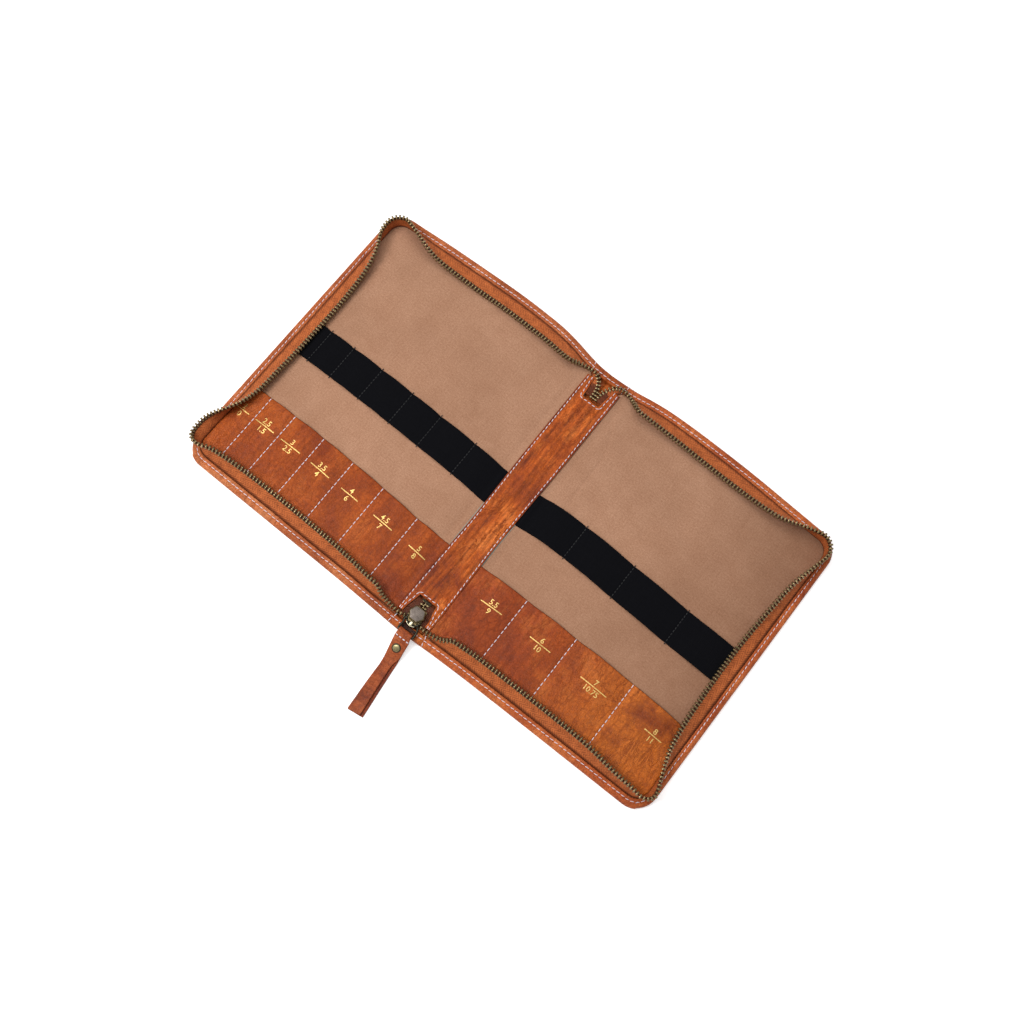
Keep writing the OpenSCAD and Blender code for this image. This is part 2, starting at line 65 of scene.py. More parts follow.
# %% sizes
MM = 0.001
HALF, HIGH, CORNER = 181.5, 107.5, 15.5
FOLD_X = 15.0
RIM_W, RIM_H = 6.2, 4.8
LINING_Z, FOLD_Z = 4.0, 5.4
BOARD_IN = 7.5
SIDE = {"left": -1.0, "right": 1.0}
SEAMS = {
    "pocket": {"left": [38.0, 67.0, 92.3, 116.7, 140.4, 160.0], "right": [47.7, 86.1, 130.3]},
    "strap": {"left": [40.0, 68.4, 92.2, 117.5, 141.0, 159.3], "right": [48.5, 86.9, 129.9]},
}


def ease(t):
    t = np.clip(t, 0.0, 1.0)
    return t * t * (3.0 - 2.0 * t)


def bell(x, middle, width):
    return np.exp(-((x - middle) / width) ** 2)


def curve(x, at, values):
    """A smooth line through a few measured points."""
    at, values = np.array(at, float), np.array(values, float)
    x = np.clip(x, at[0], at[-1])
    k = np.clip(np.searchsorted(at, x, "right") - 1, 0, len(at) - 2)
    slope, wide = np.gradient(values, at), at[k + 1] - at[k]
    t = (x - at[k]) / wide
    start = values[k] * (1 + 2 * t) + slope[k] * wide * t
    end = values[k + 1] * (3 - 2 * t) + slope[k + 1] * wide * (t - 1)
    return start * (1 - t) ** 2 + end * t ** 2


print("pockets", {k: len(v) + 1 for k, v in SEAMS["pocket"].items()})

# %% [markdown]
# ## One map for every layer
#
# Every layer has the same outline: rounded corners, a top edge that dips at the spine and
# arches over each half, and a bottom edge that bulges at the spine. Soft leather never lies
# twice the same, so the two halves have their own curves. Each layer is laid out on a plain
# rectangle first, and one function bends that rectangle into the outline. Squares around a
# corner turn into rings, so a rim stays equally wide all round.

# %% the outline map
EDGE_X = [0, 10, 20, 30, 42, 60, 80, 110, 140, 165]
TOP_SHIFT = {"left": [-3.6, -3.0, -1.2, 1.0, 3.0, 4.1, 4.4, 3.5, 2.2, 0.5],
             "right": [-3.6, -3.2, -2.5, -1.0, 0.3, 0.9, 0.8, 0.0, -1.7, -3.2]}
LOW_SHIFT = {"left": [2.7, 2.5, 2.1, 1.8, 1.4, 1.0, 0.7, 0.2, -0.2, -0.6],
             "right": [2.7, 2.4, 1.9, 1.6, 1.3, 1.1, 1.0, 0.9, 0.9, 0.9]}


def outline_shift(x, y, side):
    """How far the outline moves a layout point up, or down below the middle."""
    share = ease((np.abs(y) - 50.0) / 50.0)
    return share * np.where(y > 0, curve(x, EDGE_X, TOP_SHIFT[side]), -curve(x, EDGE_X, LOW_SHIFT[side]))


def side_shift(x):
    """The rim is a little narrower on the two short sides, so its inner lip moves out there."""
    return 0.9 * ease((HALF - x - 2.0) / 3.2) * ease((x - 158.0) / 10.0)


def case_map(x, y, side):
    """Bend plain layout coordinates, x out from the spine, into the case's outline."""
    x, y = np.array(x, float), np.array(y, float)
    cx, cy = HALF - CORNER, HIGH - CORNER
    a, b = x - cx, np.abs(y) - cy
    near_corner = (a > 0) & (b > 0)
    ring = np.maximum(a, b)
    with np.errstate(divide="ignore", invalid="ignore"):
        turn = np.where(a >= b, 0.25 * np.pi * b / a, 0.5 * np.pi - 0.25 * np.pi * a / b)
    turn = np.where(near_corner, turn, 0.0)
    mx = np.where(near_corner, cx + ring * np.cos(turn), x)
    my = np.where(near_corner, (cy + ring * np.sin(turn)) * np.sign(y), y)
    return SIDE[side] * (mx + side_shift(x)), my + outline_shift(x, y, side)


def bumps(x, y, size, seed=0.0):
    """Soft random bumps from -1 to 1, about size millimetres across."""
    flat = np.stack([np.ravel(x) / size, np.ravel(y) / size], 1)
    out = [noise.noise(Vector((p[0], p[1], seed))) for p in flat]
    return np.array(out).reshape(np.shape(x))


# %% mesh helpers
def rows_of(*columns):
    """Coordinates side by side, one row for each point."""
    return np.stack([np.ravel(c) for c in columns], 1)


def ring_rows(a, b):
    """Quads between two rows of point numbers."""
    return np.stack([a[:-1], a[1:], b[1:], b[:-1]], 1)


def grid_faces(nx, ny, start=0, flip=False):
    i, j = np.meshgrid(np.arange(nx - 1), np.arange(ny - 1), indexing="ij")
    a = (i * ny + j + start).ravel()
    quads = np.stack([a, a + ny, a + ny + 1, a + 1], 1)
    return quads[:, ::-1] if flip else quads


def show(name, data):
    """A new object in the scene."""
    ob = bpy.data.objects.new(name, data)
    bpy.context.scene.collection.objects.link(ob)
    return ob


def make_mesh(name, points, faces=(), uv=None, mats=(), face_mat=None, smooth=True, edges=()):
    """A mesh from points in millimetres, with a flat-pattern UV map in metres."""
    me = bpy.data.meshes.new(name)
    me.from_pydata((np.asarray(points) * MM).tolist(), edges, [list(map(int, f)) for f in faces])
    me.validate()
    if uv is not None:
        layer = me.uv_layers.new(name="flat")
        loops = np.empty(len(me.loops), np.int32)
        me.loops.foreach_get("vertex_index", loops)
        layer.data.foreach_set("uv", (np.asarray(uv)[loops] * MM).astype(np.float32).ravel())
    for m in mats:
        me.materials.append(m)
    if face_mat is not None:
        me.polygons.foreach_set("material_index", np.asarray(face_mat, np.int32))
    me.polygons.foreach_set("use_smooth", np.full(len(me.polygons), smooth))
    me.update()
    return show(name, me)


def face_outwards(ob):
    bm = bmesh.new()
    bm.from_mesh(ob.data)
    bmesh.ops.remove_doubles(bm, verts=bm.verts, dist=1e-6)
    bmesh.ops.recalc_face_normals(bm, faces=bm.faces)
    bm.to_mesh(ob.data)
    bm.free()
    return ob


def as_mesh(ob):
    """The object's shape as its modifiers leave it."""
    bpy.context.view_layer.update()
    return bpy.data.meshes.new_from_object(ob.evaluated_get(bpy.context.evaluated_depsgraph_get()))


def bake(ob):
    """Apply every modifier, so that the piece is a plain mesh."""
    done = as_mesh(ob)
    ob.modifiers.clear()
    ob.data = done
    done.name = ob.name
    return ob


def thicken(ob, thick, offset=-1.0, soft=None):
    """Make a sheet solid, and its cut edges softly rounded."""
    sheet = ob.modifiers.new("thick", "SOLIDIFY")
    sheet.thickness, sheet.offset = thick * MM, offset
    return bake(round_edges(ob, soft, math.radians(60)) if soft else ob)


def round_edges(ob, soft, sharp):
    """Bevel each edge that turns by more than the sharp angle."""
    bevel = ob.modifiers.new("edge", "BEVEL")
    bevel.width, bevel.segments, bevel.limit_method, bevel.angle_limit = soft * MM, 2, "ANGLE", sharp
    return ob


# %% [markdown]
# ## Shader groups
#
# Three effects come back in many finishes, so each is a node group built once: the hide of
# pull-up leather, a plain weave, and the dark film on old brass. A group hands out colours,
# masks and heights only. The Principled shader stays in each material, where gloss and
# sheen are plain values on its own sockets.

# %% node helpers
class Wire:
    """One output of a node. Sums and products of wires add maths nodes."""

    def __init__(self, node, key=0):
        self.tree, self.socket = node.id_data, node.outputs[key]

    def __add__(self, other):
        return maths("ADD", self, other)

    def __sub__(self, other):
        return maths("SUBTRACT", self, other)

    def __mul__(self, other):
        return maths("MULTIPLY", self, other)


def feed(node, values):
    """Set a node's inputs, by name or number, to plain values or to wires."""
    for key, value in values.items():
        if isinstance(value, Wire):
            node.id_data.links.new(value.socket, node.inputs[key])
        else:
            node.inputs[key].default_value = value
    return node


def put(tree, kind, values=None, **options):
    """Add a node, set its options, then its inputs."""
    node = tree.nodes.new(kind)
    for name, option in options.items():
        setattr(node, name, option)
    return feed(node, values or {})


def add(kind, values, key=0, **options):
    """Add a node to the tree of the wires that feed it."""
    tree = next(v.tree for v in values.values() if isinstance(v, Wire))
    return Wire(put(tree, kind, values, **options), key)


def maths(how, *values):
    return add("ShaderNodeMath", dict(enumerate(values)), operation=how)


def clamped(wire):
    wire.socket.node.use_clamp = True
    return wire


def mix(how, share, a, b):
    return add("ShaderNodeMix", {0: share, 6: a, 7: b}, 2, data_type="RGBA", blend_type=how)


def span(value, low, high, to_low=0.0, to_high=1.0):
    return add("ShaderNodeMapRange", dict(enumerate((value, low, high, to_low, to_high))))


def cloudy(vec, scale, detail=3.0, rough=0.5, distort=0.0, key=0):
    values = {"Vector": vec, "Scale": scale, "Detail": detail, "Roughness": rough, "Distortion": distort}
    return add("ShaderNodeTexNoise", values, key)


def cell_edges(vec, scale):
    return add("ShaderNodeTexVoronoi", {"Vector": vec, "Scale": scale}, "Distance",
               feature="DISTANCE_TO_EDGE")


def stretch(vec, sx, sy, sz=1.0, turn=0.0):
    return add("ShaderNodeMapping", {0: vec, "Scale": (sx, sy, sz), "Rotation": (0, 0, turn)})


def split(vec):
    """A vector's x and y as two wires."""
    parts = put(vec.tree, "ShaderNodeSeparateXYZ", {0: vec})
    return Wire(parts, 0), Wire(parts, 1)


def new_group(tree_type, name, inputs, outputs):
    """A node group. Each input is given as its first value, or as its kind of socket."""
    group = bpy.data.node_groups.new(name, tree_type)
    for label, value in inputs.items():
        kind = value if isinstance(value, str) else "Color" if isinstance(value, tuple) else "Float"
        socket = group.interface.new_socket(label, in_out="INPUT", socket_type="NodeSocket" + kind)
        if value != kind:
            socket.default_value = value
    for label in outputs:
        kind = label if label in ("Color", "Geometry") else "Float"
        group.interface.new_socket(label, in_out="OUTPUT", socket_type="NodeSocket" + kind)
    given = group.nodes.new("NodeGroupInput")
    return group, {label: Wire(given, label) for label in inputs}, group.nodes.new("NodeGroupOutput")


# %% the leather group
def leather_group():
    """Pull-up hide: soft clouds of colour, a net of fine wrinkles, pores, and creases."""
    group, given, out = new_group("ShaderNodeTree", "pull_up_hide", {
        "Vector": "Vector", "Base": (0.4, 0.1, 0.03, 1), "Deep": (0.2, 0.05, 0.015, 1),
        "Worn": (0.6, 0.2, 0.07, 1), "Clouds": 1.0, "Creases": 1.0, "Streaks": 0.4},
        ("Color", "Roughness", "Height"))
    vec, deep, worn, clouds = (given[k] for k in ("Vector", "Deep", "Worn", "Clouds"))
    broad = cloudy(vec, 22, 4, 0.55, 0.4)
    mid = cloudy(vec, 85, 6, 0.62, 0.8)
    fine = cloudy(vec, 480, 5, 0.65, 0.5)
    # wrinkles: thin dark valleys of two stretched nets of cells
    wobble = cloudy(vec, 160, key="Color")
    warp = add("ShaderNodeVectorMath", {0: wobble, 1: (0.004, 0.004, 0.004), 2: vec},
               operation="MULTIPLY_ADD")
    grain = span(cell_edges(warp, 800), 0.0, 0.14)
    net = cell_edges(stretch(warp, 1.0, 0.45, 1.0, 0.6), 240)
    valley = span(net, 0.0, 0.11, 1.0, 0.0) * span(mid, 0.38, 0.62)
    # creases: lines where a stretched noise crosses its middle
    run = cloudy(stretch(vec, 1.0, 0.35, 1.0, 0.5), 95, 6, 0.62, 1.2)
    line = span(maths("ABSOLUTE", run - 0.5), 0.0, 0.03, 1.0, 0.0)
    crease = line * span(broad, 0.40, 0.58) * given["Creases"]
    cloud = broad * 0.66 + mid * 0.34
    dark = clamped(span(cloud, 0.52, 0.38) * clouds)
    light = clamped(span(cloud, 0.51, 0.64) * clouds)
    col = mix("MIX", dark, given["Base"], deep)
    col = mix("MIX", light * 0.8, col, worn)
    # the hide's own tone: fine specks, and streaks that run lengthwise where it has been bent
    speck = span(cloudy(vec, 1500, 3, 0.6), 0.3, 0.7, -0.12, 0.12)
    streak = span(cloudy(stretch(vec, 1.0, 0.07), 330, 4, 0.55), 0.32, 0.68, -0.30, 0.30)
    tone = span(fine, 0.32, 0.68, 0.78, 1.20) + speck + streak * given["Streaks"]
    col = add("ShaderNodeHueSaturation", {"Color": col, "Value": tone})
    scratch = cloudy(stretch(vec, 1.0, 0.09, 1.0, 0.75), 620, 3, 0.6)
    col = mix("MIX", clamped(span(scratch, 0.60, 0.72, 0.0, 0.35) * clouds), col, worn)
    mark = maths("MAXIMUM", crease * 0.6, valley * 0.5)
    col = mix("MIX", mark, col, deep)
    col = mix("MULTIPLY", span(grain, 1.0, 0.0, 0.0, 0.35), col, (0.5, 0.42, 0.4, 1))
    rough = span(mid, 0.3, 0.7, 0.38, 0.56) + mark * 0.15
    feed(out, {"Color": col, "Roughness": rough, "Height": grain * 0.4 + mid * 1.3 - mark + fine * 0.6})
    return group


# %% the weave group
def weave_group():
    """Threads over and under, as a height and a shade."""
    group, given, out = new_group("ShaderNodeTree", "plain_weave", {
        "Vector": "Vector", "Across": 2600.0, "Along": 2600.0, "Slub": 0.5}, ("Height", "Shade"))
    vec = given["Vector"]
    x, y = split(vec)
    u, v = x * given["Across"], y * given["Along"]
    wave_u, wave_v = (maths("ABSOLUTE", maths("SINE", w * math.pi)) for w in (u, v))
    odd = maths("ABSOLUTE", maths("MODULO", maths("FLOOR", u) + maths("FLOOR", v), 2.0))
    over = odd * wave_u + maths("SUBTRACT", 1.0, odd) * wave_v
    slub = cloudy(stretch(vec, 1500, 45), 1.0, 2) + cloudy(stretch(vec, 45, 1500), 1.0, 2)
    slub = (slub - 1.0) * given["Slub"]
    feed(out, {"Height": over + slub, "Shade": over * 0.5 + slub})
    return group


# %% the old brass group
def old_brass_group():
    """Bright metal on the worn high spots, a brown film everywhere else, and fine scratches."""
    group, given, out = new_group("ShaderNodeTree", "old_brass", {
        "Vector": "Vector", "Bright": (0.6, 0.45, 0.2, 1), "Film": (0.08, 0.06, 0.04, 1), "Wear": 0.5},
        ("Color", "Roughness", "Height"))
    vec = given["Vector"]
    patch = cloudy(vec, 700, 5, 0.65)
    scratch = cloudy(stretch(vec, 900, 9000, 900, 0.7), 1.0, 2)
    edge = Wire(put(group, "ShaderNodeNewGeometry"), "Pointiness")
    worn = span(edge, 0.5, 0.56) * 0.7 + patch * given["Wear"]
    worn = clamped(worn + span(scratch, 0.6, 0.75) * 0.3)
    rough = span(cloudy(vec, 4200, 3, 0.6), 0.3, 0.7, 0.42, 0.6) - worn * 0.15
    col = mix("MIX", worn, given["Film"], given["Bright"])
    feed(out, {"Color": col, "Roughness": rough, "Height": patch * 0.5 + scratch * 0.25})
    return group


HIDE, WEAVE, BRASS = leather_group(), weave_group(), old_brass_group()
print("groups", HIDE.name, WEAVE.name, BRASS.name)

# %% [markdown]
# ## Finishes
#
# Leather, cotton and tape read the flat-pattern UV map, measured in metres, so their grain
# stays with the piece when the case folds shut. Small metal parts read Object coordinates.
# One case is cut from several hides, and the right pockets came out redder than the left,
# so each panel has its own three colours: base, deep and worn.

# %% material helpers
def start_material(name, uv=True):
    """A material with its shader, and the coordinates that its textures read."""
    m = bpy.data.materials.new(name)
    m.use_nodes = True
    tree = m.node_tree
    source = put(tree, "ShaderNodeUVMap", uv_map="flat") if uv else put(tree, "ShaderNodeTexCoord")
    return m, tree.nodes["Principled BSDF"], Wire(source, 0 if uv else "Object")


def use_group(group, vec, **values):
    return put(vec.tree, "ShaderNodeGroup", {"Vector": vec, **values}, node_tree=group)


def bump(height, strength, distance):
    return add("ShaderNodeBump", {"Strength": strength, "Distance": distance, "Height": height})


def rgb(r, g, b):
    """A colour as the eye's 0 to 255 values, turned into the linear values that light uses."""
    part = [c / 255 for c in (r, g, b)]
    return (*(((c + 0.055) / 1.055) ** 2.4 if c > 0.04045 else c / 12.92 for c in part), 1.0)


# %% leather finishes
def leather(name, base, deep, worn, clouds=1.0, creases=1.0, depth=0.0004, streaks=0.3, drift=None,
            border=None):
    """drift fades the base into a second colour between two x; border darkens the hide beyond an x."""
    m, shader, vec = start_material(name)
    hide = use_group(HIDE, vec, Base=rgb(*base), Deep=rgb(*deep), Worn=rgb(*worn),
                     Clouds=clouds, Creases=creases, Streaks=streaks)
    col, x = Wire(hide, "Color"), split(vec)[0]
    if drift:
        feed(hide, {"Base": mix("MIX", span(x, *drift[:2]), rgb(*base), rgb(*drift[2]))})
    if border:
        outside = span(maths("ABSOLUTE", x), border, border + 0.0011)
        col = mix("MULTIPLY", outside, col, (0.58, 0.47, 0.40, 1))
    feed(shader, {"Base Color": col, "Roughness": Wire(hide, "Roughness"), "Specular IOR Level": 0.18,
                  "Normal": bump(Wire(hide, "Height"), 0.6, depth)})
    return m


M = {
    "cover_left": leather("left_cover_leather", (182, 98, 52), (142, 66, 30), (208, 130, 82)),
    "cover_right": leather("right_cover_leather", (186, 94, 45), (142, 60, 26), (212, 126, 70)),
    "spine": leather("spine_leather", (176, 88, 34), (134, 56, 20), (200, 114, 52), creases=1.2),
    "strip": leather("strip_leather", (172, 80, 21), (116, 43, 11), (204, 114, 50), creases=1.4,
                     streaks=1.5, border=0.0114),
    "pocket_left": leather("left_pocket_leather", (160, 73, 20), (118, 44, 12), (188, 98, 40),
                           clouds=0.8, creases=0.8, streaks=0.5),
    "pocket_right": leather("right_pocket_leather", (154, 67, 23), (110, 41, 13), (190, 106, 46),
                            clouds=0.8, streaks=0.5, drift=(0.070, 0.140, (186, 97, 28))),
    "tab": leather("tab_leather", (142, 64, 27), (104, 39, 15), (176, 94, 52), creases=0.8, depth=0.0003,
                   streaks=0.6, drift=(0.080, 0.114, (174, 90, 46))),
    # painted shade: a dark leather for the tape in the notches, which lie in shade under the spine strip
    "notch": leather("notch_leather", (108, 50, 18), (62, 25, 9), (134, 66, 26)),
    # the pocket mouth's dark line: the leather's cut edge, and painted shade along it
    "cut_edge_and_shade": leather("cut_edge_leather", (84, 38, 18), (60, 26, 12), (110, 56, 30)),
    # painted shade: a near-black leather for the patch between the bail's legs, where the slider shades the
    # rim
    "painted_shade_patch": leather("blackened_leather", (48, 22, 10), (20, 10, 6), (84, 40, 18)),
}
print("leathers", list(M))

# %% cloth finishes
def cloth(name, dark, light, across, along, depth, slub, rough=0.9, spec=0.15):
    """Plain woven cloth without its colour, and what its colour is mixed from."""
    m, shader, vec = start_material(name)
    weave = use_group(WEAVE, vec, Across=across, Along=along, Slub=slub)
    shade = span(Wire(weave, "Shade"), -0.1, 0.7)
    normal = bump(Wire(weave, "Height"), 0.5, depth)
    feed(shader, {"Roughness": rough, "Specular IOR Level": spec, "Normal": normal})
    return m, shader, vec, shade, rgb(*dark), rgb(*light)


def cotton():
    """Tan cotton with fluff, soft stains, and painted shade that darkens it slowly towards the right-hand
    end.
    """
    m, shader, vec, shade, dark, light = cloth(
        "tan_cotton", (150, 109, 84), (190, 146, 118), 2300, 2500, 0.0001, 0.25)
    shade = clamped(shade + span(cloudy(vec, 900, 4, 0.7), 0.3, 0.7, -0.34, 0.34))
    col = mix("MIX", shade, dark, light)
    col = mix("MULTIPLY", span(cloudy(vec, 14), 0.35, 0.65, 0.0, 0.7), col, (0.82, 0.80, 0.78, 1))
    rub = cloudy(vec, 75, 4, 0.55, 0.6)
    col = mix("MULTIPLY", span(rub, 0.35, 0.65, 0.0, 0.7), col, (0.90, 0.865, 0.84, 1))
    # painted shade: the lining darkens from 85 to 175 mm out on the right half
    col = mix("MULTIPLY", span(split(vec)[0], 0.085, 0.175), col, (0.72, 0.685, 0.66, 1))
    feed(shader, {"Base Color": col})
    return m


def elastic():
    m, shader, _, shade, dark, light = cloth(
        "black_elastic", (4, 4, 6), (15, 15, 19), 900, 2200, 0.0002, 0.3, rough=0.75, spec=0.05)
    feed(shader, {"Base Color": mix("MIX", shade, dark, light)})
    return m


def tape_weave(name, dark, light):
    """Zip tape: a herringbone of slanting threads in columns along its length, darkened at its root by
    painted shade.
    """
    m, shader, vec = start_material(name)
    x, y = split(vec)
    column = maths("PINGPONG", y * 430.0, 1.0)
    rib = maths("PINGPONG", x * 720.0 + column * 1.5, 0.5)
    shade = clamped(rib * 1.5 + span(cloudy(vec, 260, 4, 0.6), 0.3, 0.7, -0.1, 0.35))
    # painted shade: the tape darkens towards its root, in the gap under the rim's lip
    root = span(y, 0.0004, 0.0016, 0.75, 0.0)
    col = mix("MULTIPLY", root, mix("MIX", shade, rgb(*dark), rgb(*light)), (0.16, 0.12, 0.1, 1))
    feed(shader, {"Base Color": col, "Roughness": 0.75, "Specular IOR Level": 0.2,
                  "Normal": bump(rib + column * 0.3, 0.7, 0.0003)})
    return m


def thread(name, colour):
    """Thick waxed thread: two plies that wind round each other, drawn as slanting bands."""
    m, shader, vec = start_material(name, uv=False)
    band = add("ShaderNodeTexWave", {"Vector": vec, "Scale": 900.0, "Distortion": 0.6}, 1,
               bands_direction="DIAGONAL")
    light = rgb(*colour)
    dark = (*(c * 0.72 for c in light[:3]), 1.0)
    feed(shader, {"Base Color": mix("MIX", band, dark, light), "Normal": bump(band, 0.4, 0.00008)})
    return m


M["lining"], M["elastic"] = cotton(), elastic()
M["tape"] = tape_weave("zip_tape", (106, 48, 20), (204, 111, 58))
# the tape's free edge: a dark cord, and painted shade in the gaps between the teeth
M["cord"] = tape_weave("tape_edge", (36, 17, 8), (84, 42, 20))
M["thread"] = thread("white_thread", (230, 220, 228))
M["black_thread"] = thread("black_thread", (12, 12, 15))

# %% metal, foil and board finishes
def brass(name, bright, film, wear):
    m, shader, vec = start_material(name, uv=False)
    old = use_group(BRASS, vec, Bright=rgb(*bright), Film=rgb(*film), Wear=wear)
    feed(shader, {"Base Color": Wire(old, "Color"), "Roughness": Wire(old, "Roughness"), "Metallic": 0.9,
                  "Normal": bump(Wire(old, "Height"), 0.3, 0.00006)})
    return m


def cap_face(name):
    """The slider's cap: gunmetal with a brushed slant, and brass where the brushing cut through."""
    m, shader, vec = start_material(name, uv=False)
    brush = cloudy(stretch(vec, 900, 6000, 900, 0.5), 1.0, 4, 0.6)
    patch = cloudy(vec, 600, 4, 0.6)
    col = mix("MIX", span(brush, 0.3, 0.7), rgb(70, 61, 56), rgb(122, 110, 101))
    cut_through = span(brush, 0.62, 0.75) * span(patch, 0.5, 0.62)
    feed(shader, {"Base Color": mix("MIX", cut_through, col, rgb(170, 156, 128)), "Metallic": 0.6,
                  "Roughness": span(patch, 0.3, 0.7, 0.40, 0.58), "Normal": bump(brush, 0.35, 0.00005)})
    return m


def foil(name):
    """Stamped gold foil: bright, a little broken where the leather's grain lifts it."""
    m, shader, vec = start_material(name, uv=False)
    grain = cloudy(vec, 1800, 3, 0.6)
    col = mix("MIX", span(grain, 0.3, 0.55), rgb(170, 128, 62), rgb(226, 190, 112))
    feed(shader, {"Base Color": col, "Metallic": 0.55, "Roughness": span(grain, 0.3, 0.7, 0.5, 0.3)})
    return m


def board(name):
    """Grey board: pressed fibres, seen only at the bare edges."""
    m, shader, vec = start_material(name, uv=False)
    fibre = cloudy(stretch(vec, 1, 1, 6), 900, 4, 0.6)
    col = mix("MIX", fibre, rgb(120, 112, 100), rgb(160, 152, 138))
    feed(shader, {"Base Color": col, "Roughness": 0.9, "Normal": bump(fibre, 0.3, 0.0001)})
    return m


for key, name, bright, film, wear in (
        ("teeth", "teeth_bronze", (146, 127, 92), (28, 20, 13), 0.36),
        ("slider", "slider_bronze", (138, 120, 84), (34, 27, 18), 0.36),
        ("post", "worn_bronze", (214, 204, 172), (120, 106, 76), 0.8),
        ("wire", "blackened_wire", (70, 68, 56), (10, 10, 9), 0.25),
        ("rivet", "rivet_brass", (176, 164, 122), (96, 86, 54), 0.7),
        # painted shade: a near-black finish for the slider's mouth and the bottom stop
        ("shade", "slider_inside", (40, 36, 26), (10, 9, 7), 0.2)):
    M[key] = brass(name, bright, film, wear)
M["cap"], M["foil"], M["board"] = cap_face("gunmetal_cap"), foil("gold_foil"), board("grey_board")
print("finishes", len(M))

# %% [markdown]
# ## The outer leather
#
# The hide lies flat under the board, rolls round its edge and is turned over onto the
# inside, where it ends in a lip. The section is written once as height against distance
# from the outer edge, with a shallow groove for the stitches, and the outline map carries it
# round the case. A narrow piece covers the spine on top of both covers, so the section
# steps up there. Each cover reaches to the middle of the spine.

# %% section of the turned edge
ROLL = 2.4
ROLL_ANGLES = np.radians([0, 14, 28, 42, 56, 72, 90])
ROLL_IN = ROLL * (1 - np.cos(ROLL_ANGLES))
TOP_TABLE = np.array([
    (2.4, 4.80), (2.8, 4.82), (3.2, 4.76), (3.55, 4.52), (3.9, 4.34), (4.25, 4.52), (4.6, 4.74), (5.1, 4.80),
    (5.5, 4.76), (5.85, 4.62), (6.05, 4.42), (6.18, 4.10), (6.24, 3.60), (6.32, 1.35), (7.2, 1.35)])
INSETS = np.concatenate([ROLL_IN[:-1], TOP_TABLE[:, 0]])


def roll_rise(d):
    return ROLL * np.sin(np.arccos(np.clip(1 - d / ROLL, -1, 1)))


def edge_top(d):
    return np.where(d < ROLL, ROLL + roll_rise(d), np.interp(d, TOP_TABLE[:, 0], TOP_TABLE[:, 1]))


def edge_under(d):
    return np.where(d < ROLL, ROLL - roll_rise(d), 0.0)


def steps(*parts):
    return np.unique(np.round(np.concatenate(parts), 4))


def layout(x_start, x_steps, inner):
    """Layout columns out from the spine and rows along it, dense at the rim."""
    half_rows = np.concatenate([inner, (HIGH - INSETS)[::-1]])
    return steps(x_start, x_steps, (HALF - INSETS)[::-1]), steps(-half_rows[::-1], half_rows[half_rows > 0])


# %% the two covers
SPINE_PIECE = 14.4
SPINE_LAYER = 0.38
COVER_X = [0, 2, 4, 6, 8, 9, 10, 11, 12, 13, 13.8, 14.2, 14.4, 14.55, 14.9, 15.5, 16.2,
           17, 18, 19, 20, 21.5, 23.5]


def rim_height(x, y):
    """Top of the cover at a layout point, with the spine piece's step and soft puckers."""
    d = np.minimum(HALF - x, HIGH - np.abs(y))
    step = SPINE_LAYER * (1 - ease((x - SPINE_PIECE + 0.12) / 0.24))
    pucker = 0.10 * bumps(x, y, 7.0, 1.0) + 0.09 * bumps(x, y, 2.6, 2.0)
    on_rim = (d > 0.4) & (d < 6.2)
    return edge_top(d) + np.where(on_rim, step + pucker * ease((d - 0.4) / 1.2), 0.0)


def build_cover(side):
    s = SIDE[side]
    xs, ys = layout(COVER_X, np.arange(26, HALF - 7.3, 2.6), np.arange(0, HIGH - 7.3, 2.6))
    X, Y = np.meshgrid(xs, ys, indexing="ij")
    d = np.minimum(HALF - X, HIGH - np.abs(Y))
    under = edge_under(d) + 0.3 * ease((X - SPINE_PIECE) / 0.2) * (1 - ease((X - 16) / 14)) * (d > 1.0)
    top, under = (np.where(d < 1e-6, ROLL, z) for z in (rim_height(X, Y), under))
    mx, my = case_map(X, Y, side)
    pts = np.concatenate([rows_of(mx, my, top), rows_of(mx, my, under)])
    # the flat pattern: the turned edge is laid out beyond the outline
    gx, gy = np.tile(rows_of(X, Y), (2, 1)).T
    to_side, to_end = HALF - gx, HIGH - np.abs(gy)
    drop = (RIM_H - pts[:, 2]) * (np.minimum(to_side, to_end) < 5)
    uv = rows_of(s * (gx + drop * (to_side < to_end)), gy + np.sign(gy) * drop * (to_side >= to_end))
    nx, ny = X.shape
    j = np.arange(ny)
    end = ring_rows(j, j + nx * ny)
    sheets = [grid_faces(nx, ny, 0, s < 0), grid_faces(nx, ny, nx * ny, s > 0)]
    faces = np.concatenate([*sheets, end[:, ::int(s)]])
    middle = np.abs(pts[faces][:, :, 0]).mean(1)
    finish = (M["cover_" + side], M["spine"])
    ob = make_mesh(side + "_outer_leather", pts, faces, uv, finish, (middle < SPINE_PIECE).astype(int))
    return face_outwards(ob)


covers = {side: build_cover(side) for side in SIDE}
print("covers", {k: len(o.data.polygons) for k, o in covers.items()})

# %% [markdown]
# ## Lining
#
# A sheet of tan cotton is glued over the board and runs in under the turned edge, the zip
# and the spine strip. It is never quite flat: long soft swells cross it, and it sinks a
# little over the fold, where there is no board behind it.

# %% lining
LINING_IN, LINING_START = 6.1, 10.75


def lining_height(x, y, side):
    seed = 5.0 if side == "left" else 8.0
    swell = 0.22 * bumps(x, y * 0.8, 42.0, seed) + 0.12 * bumps(x + y * 0.5, y, 16.0, seed + 1)
    swell = swell + 0.05 * bumps(x - y * 0.4, y, 6.0, seed + 2)
    z = LINING_Z - 0.08 + swell * ease((x - 20) / 12) - 0.55 * bell(x, 17.0, 2.6)
    if side == "right":
        # one pressed crease runs out from the top notch and fades half way down
        crease_x = np.interp(y, [23, 41, 60, 82, 92], [29.4, 29.7, 27.9, 18.6, 15.0])
        z = z - 0.32 * bell(x, crease_x, 0.9) * ease((y - 8) / 16)
    return z


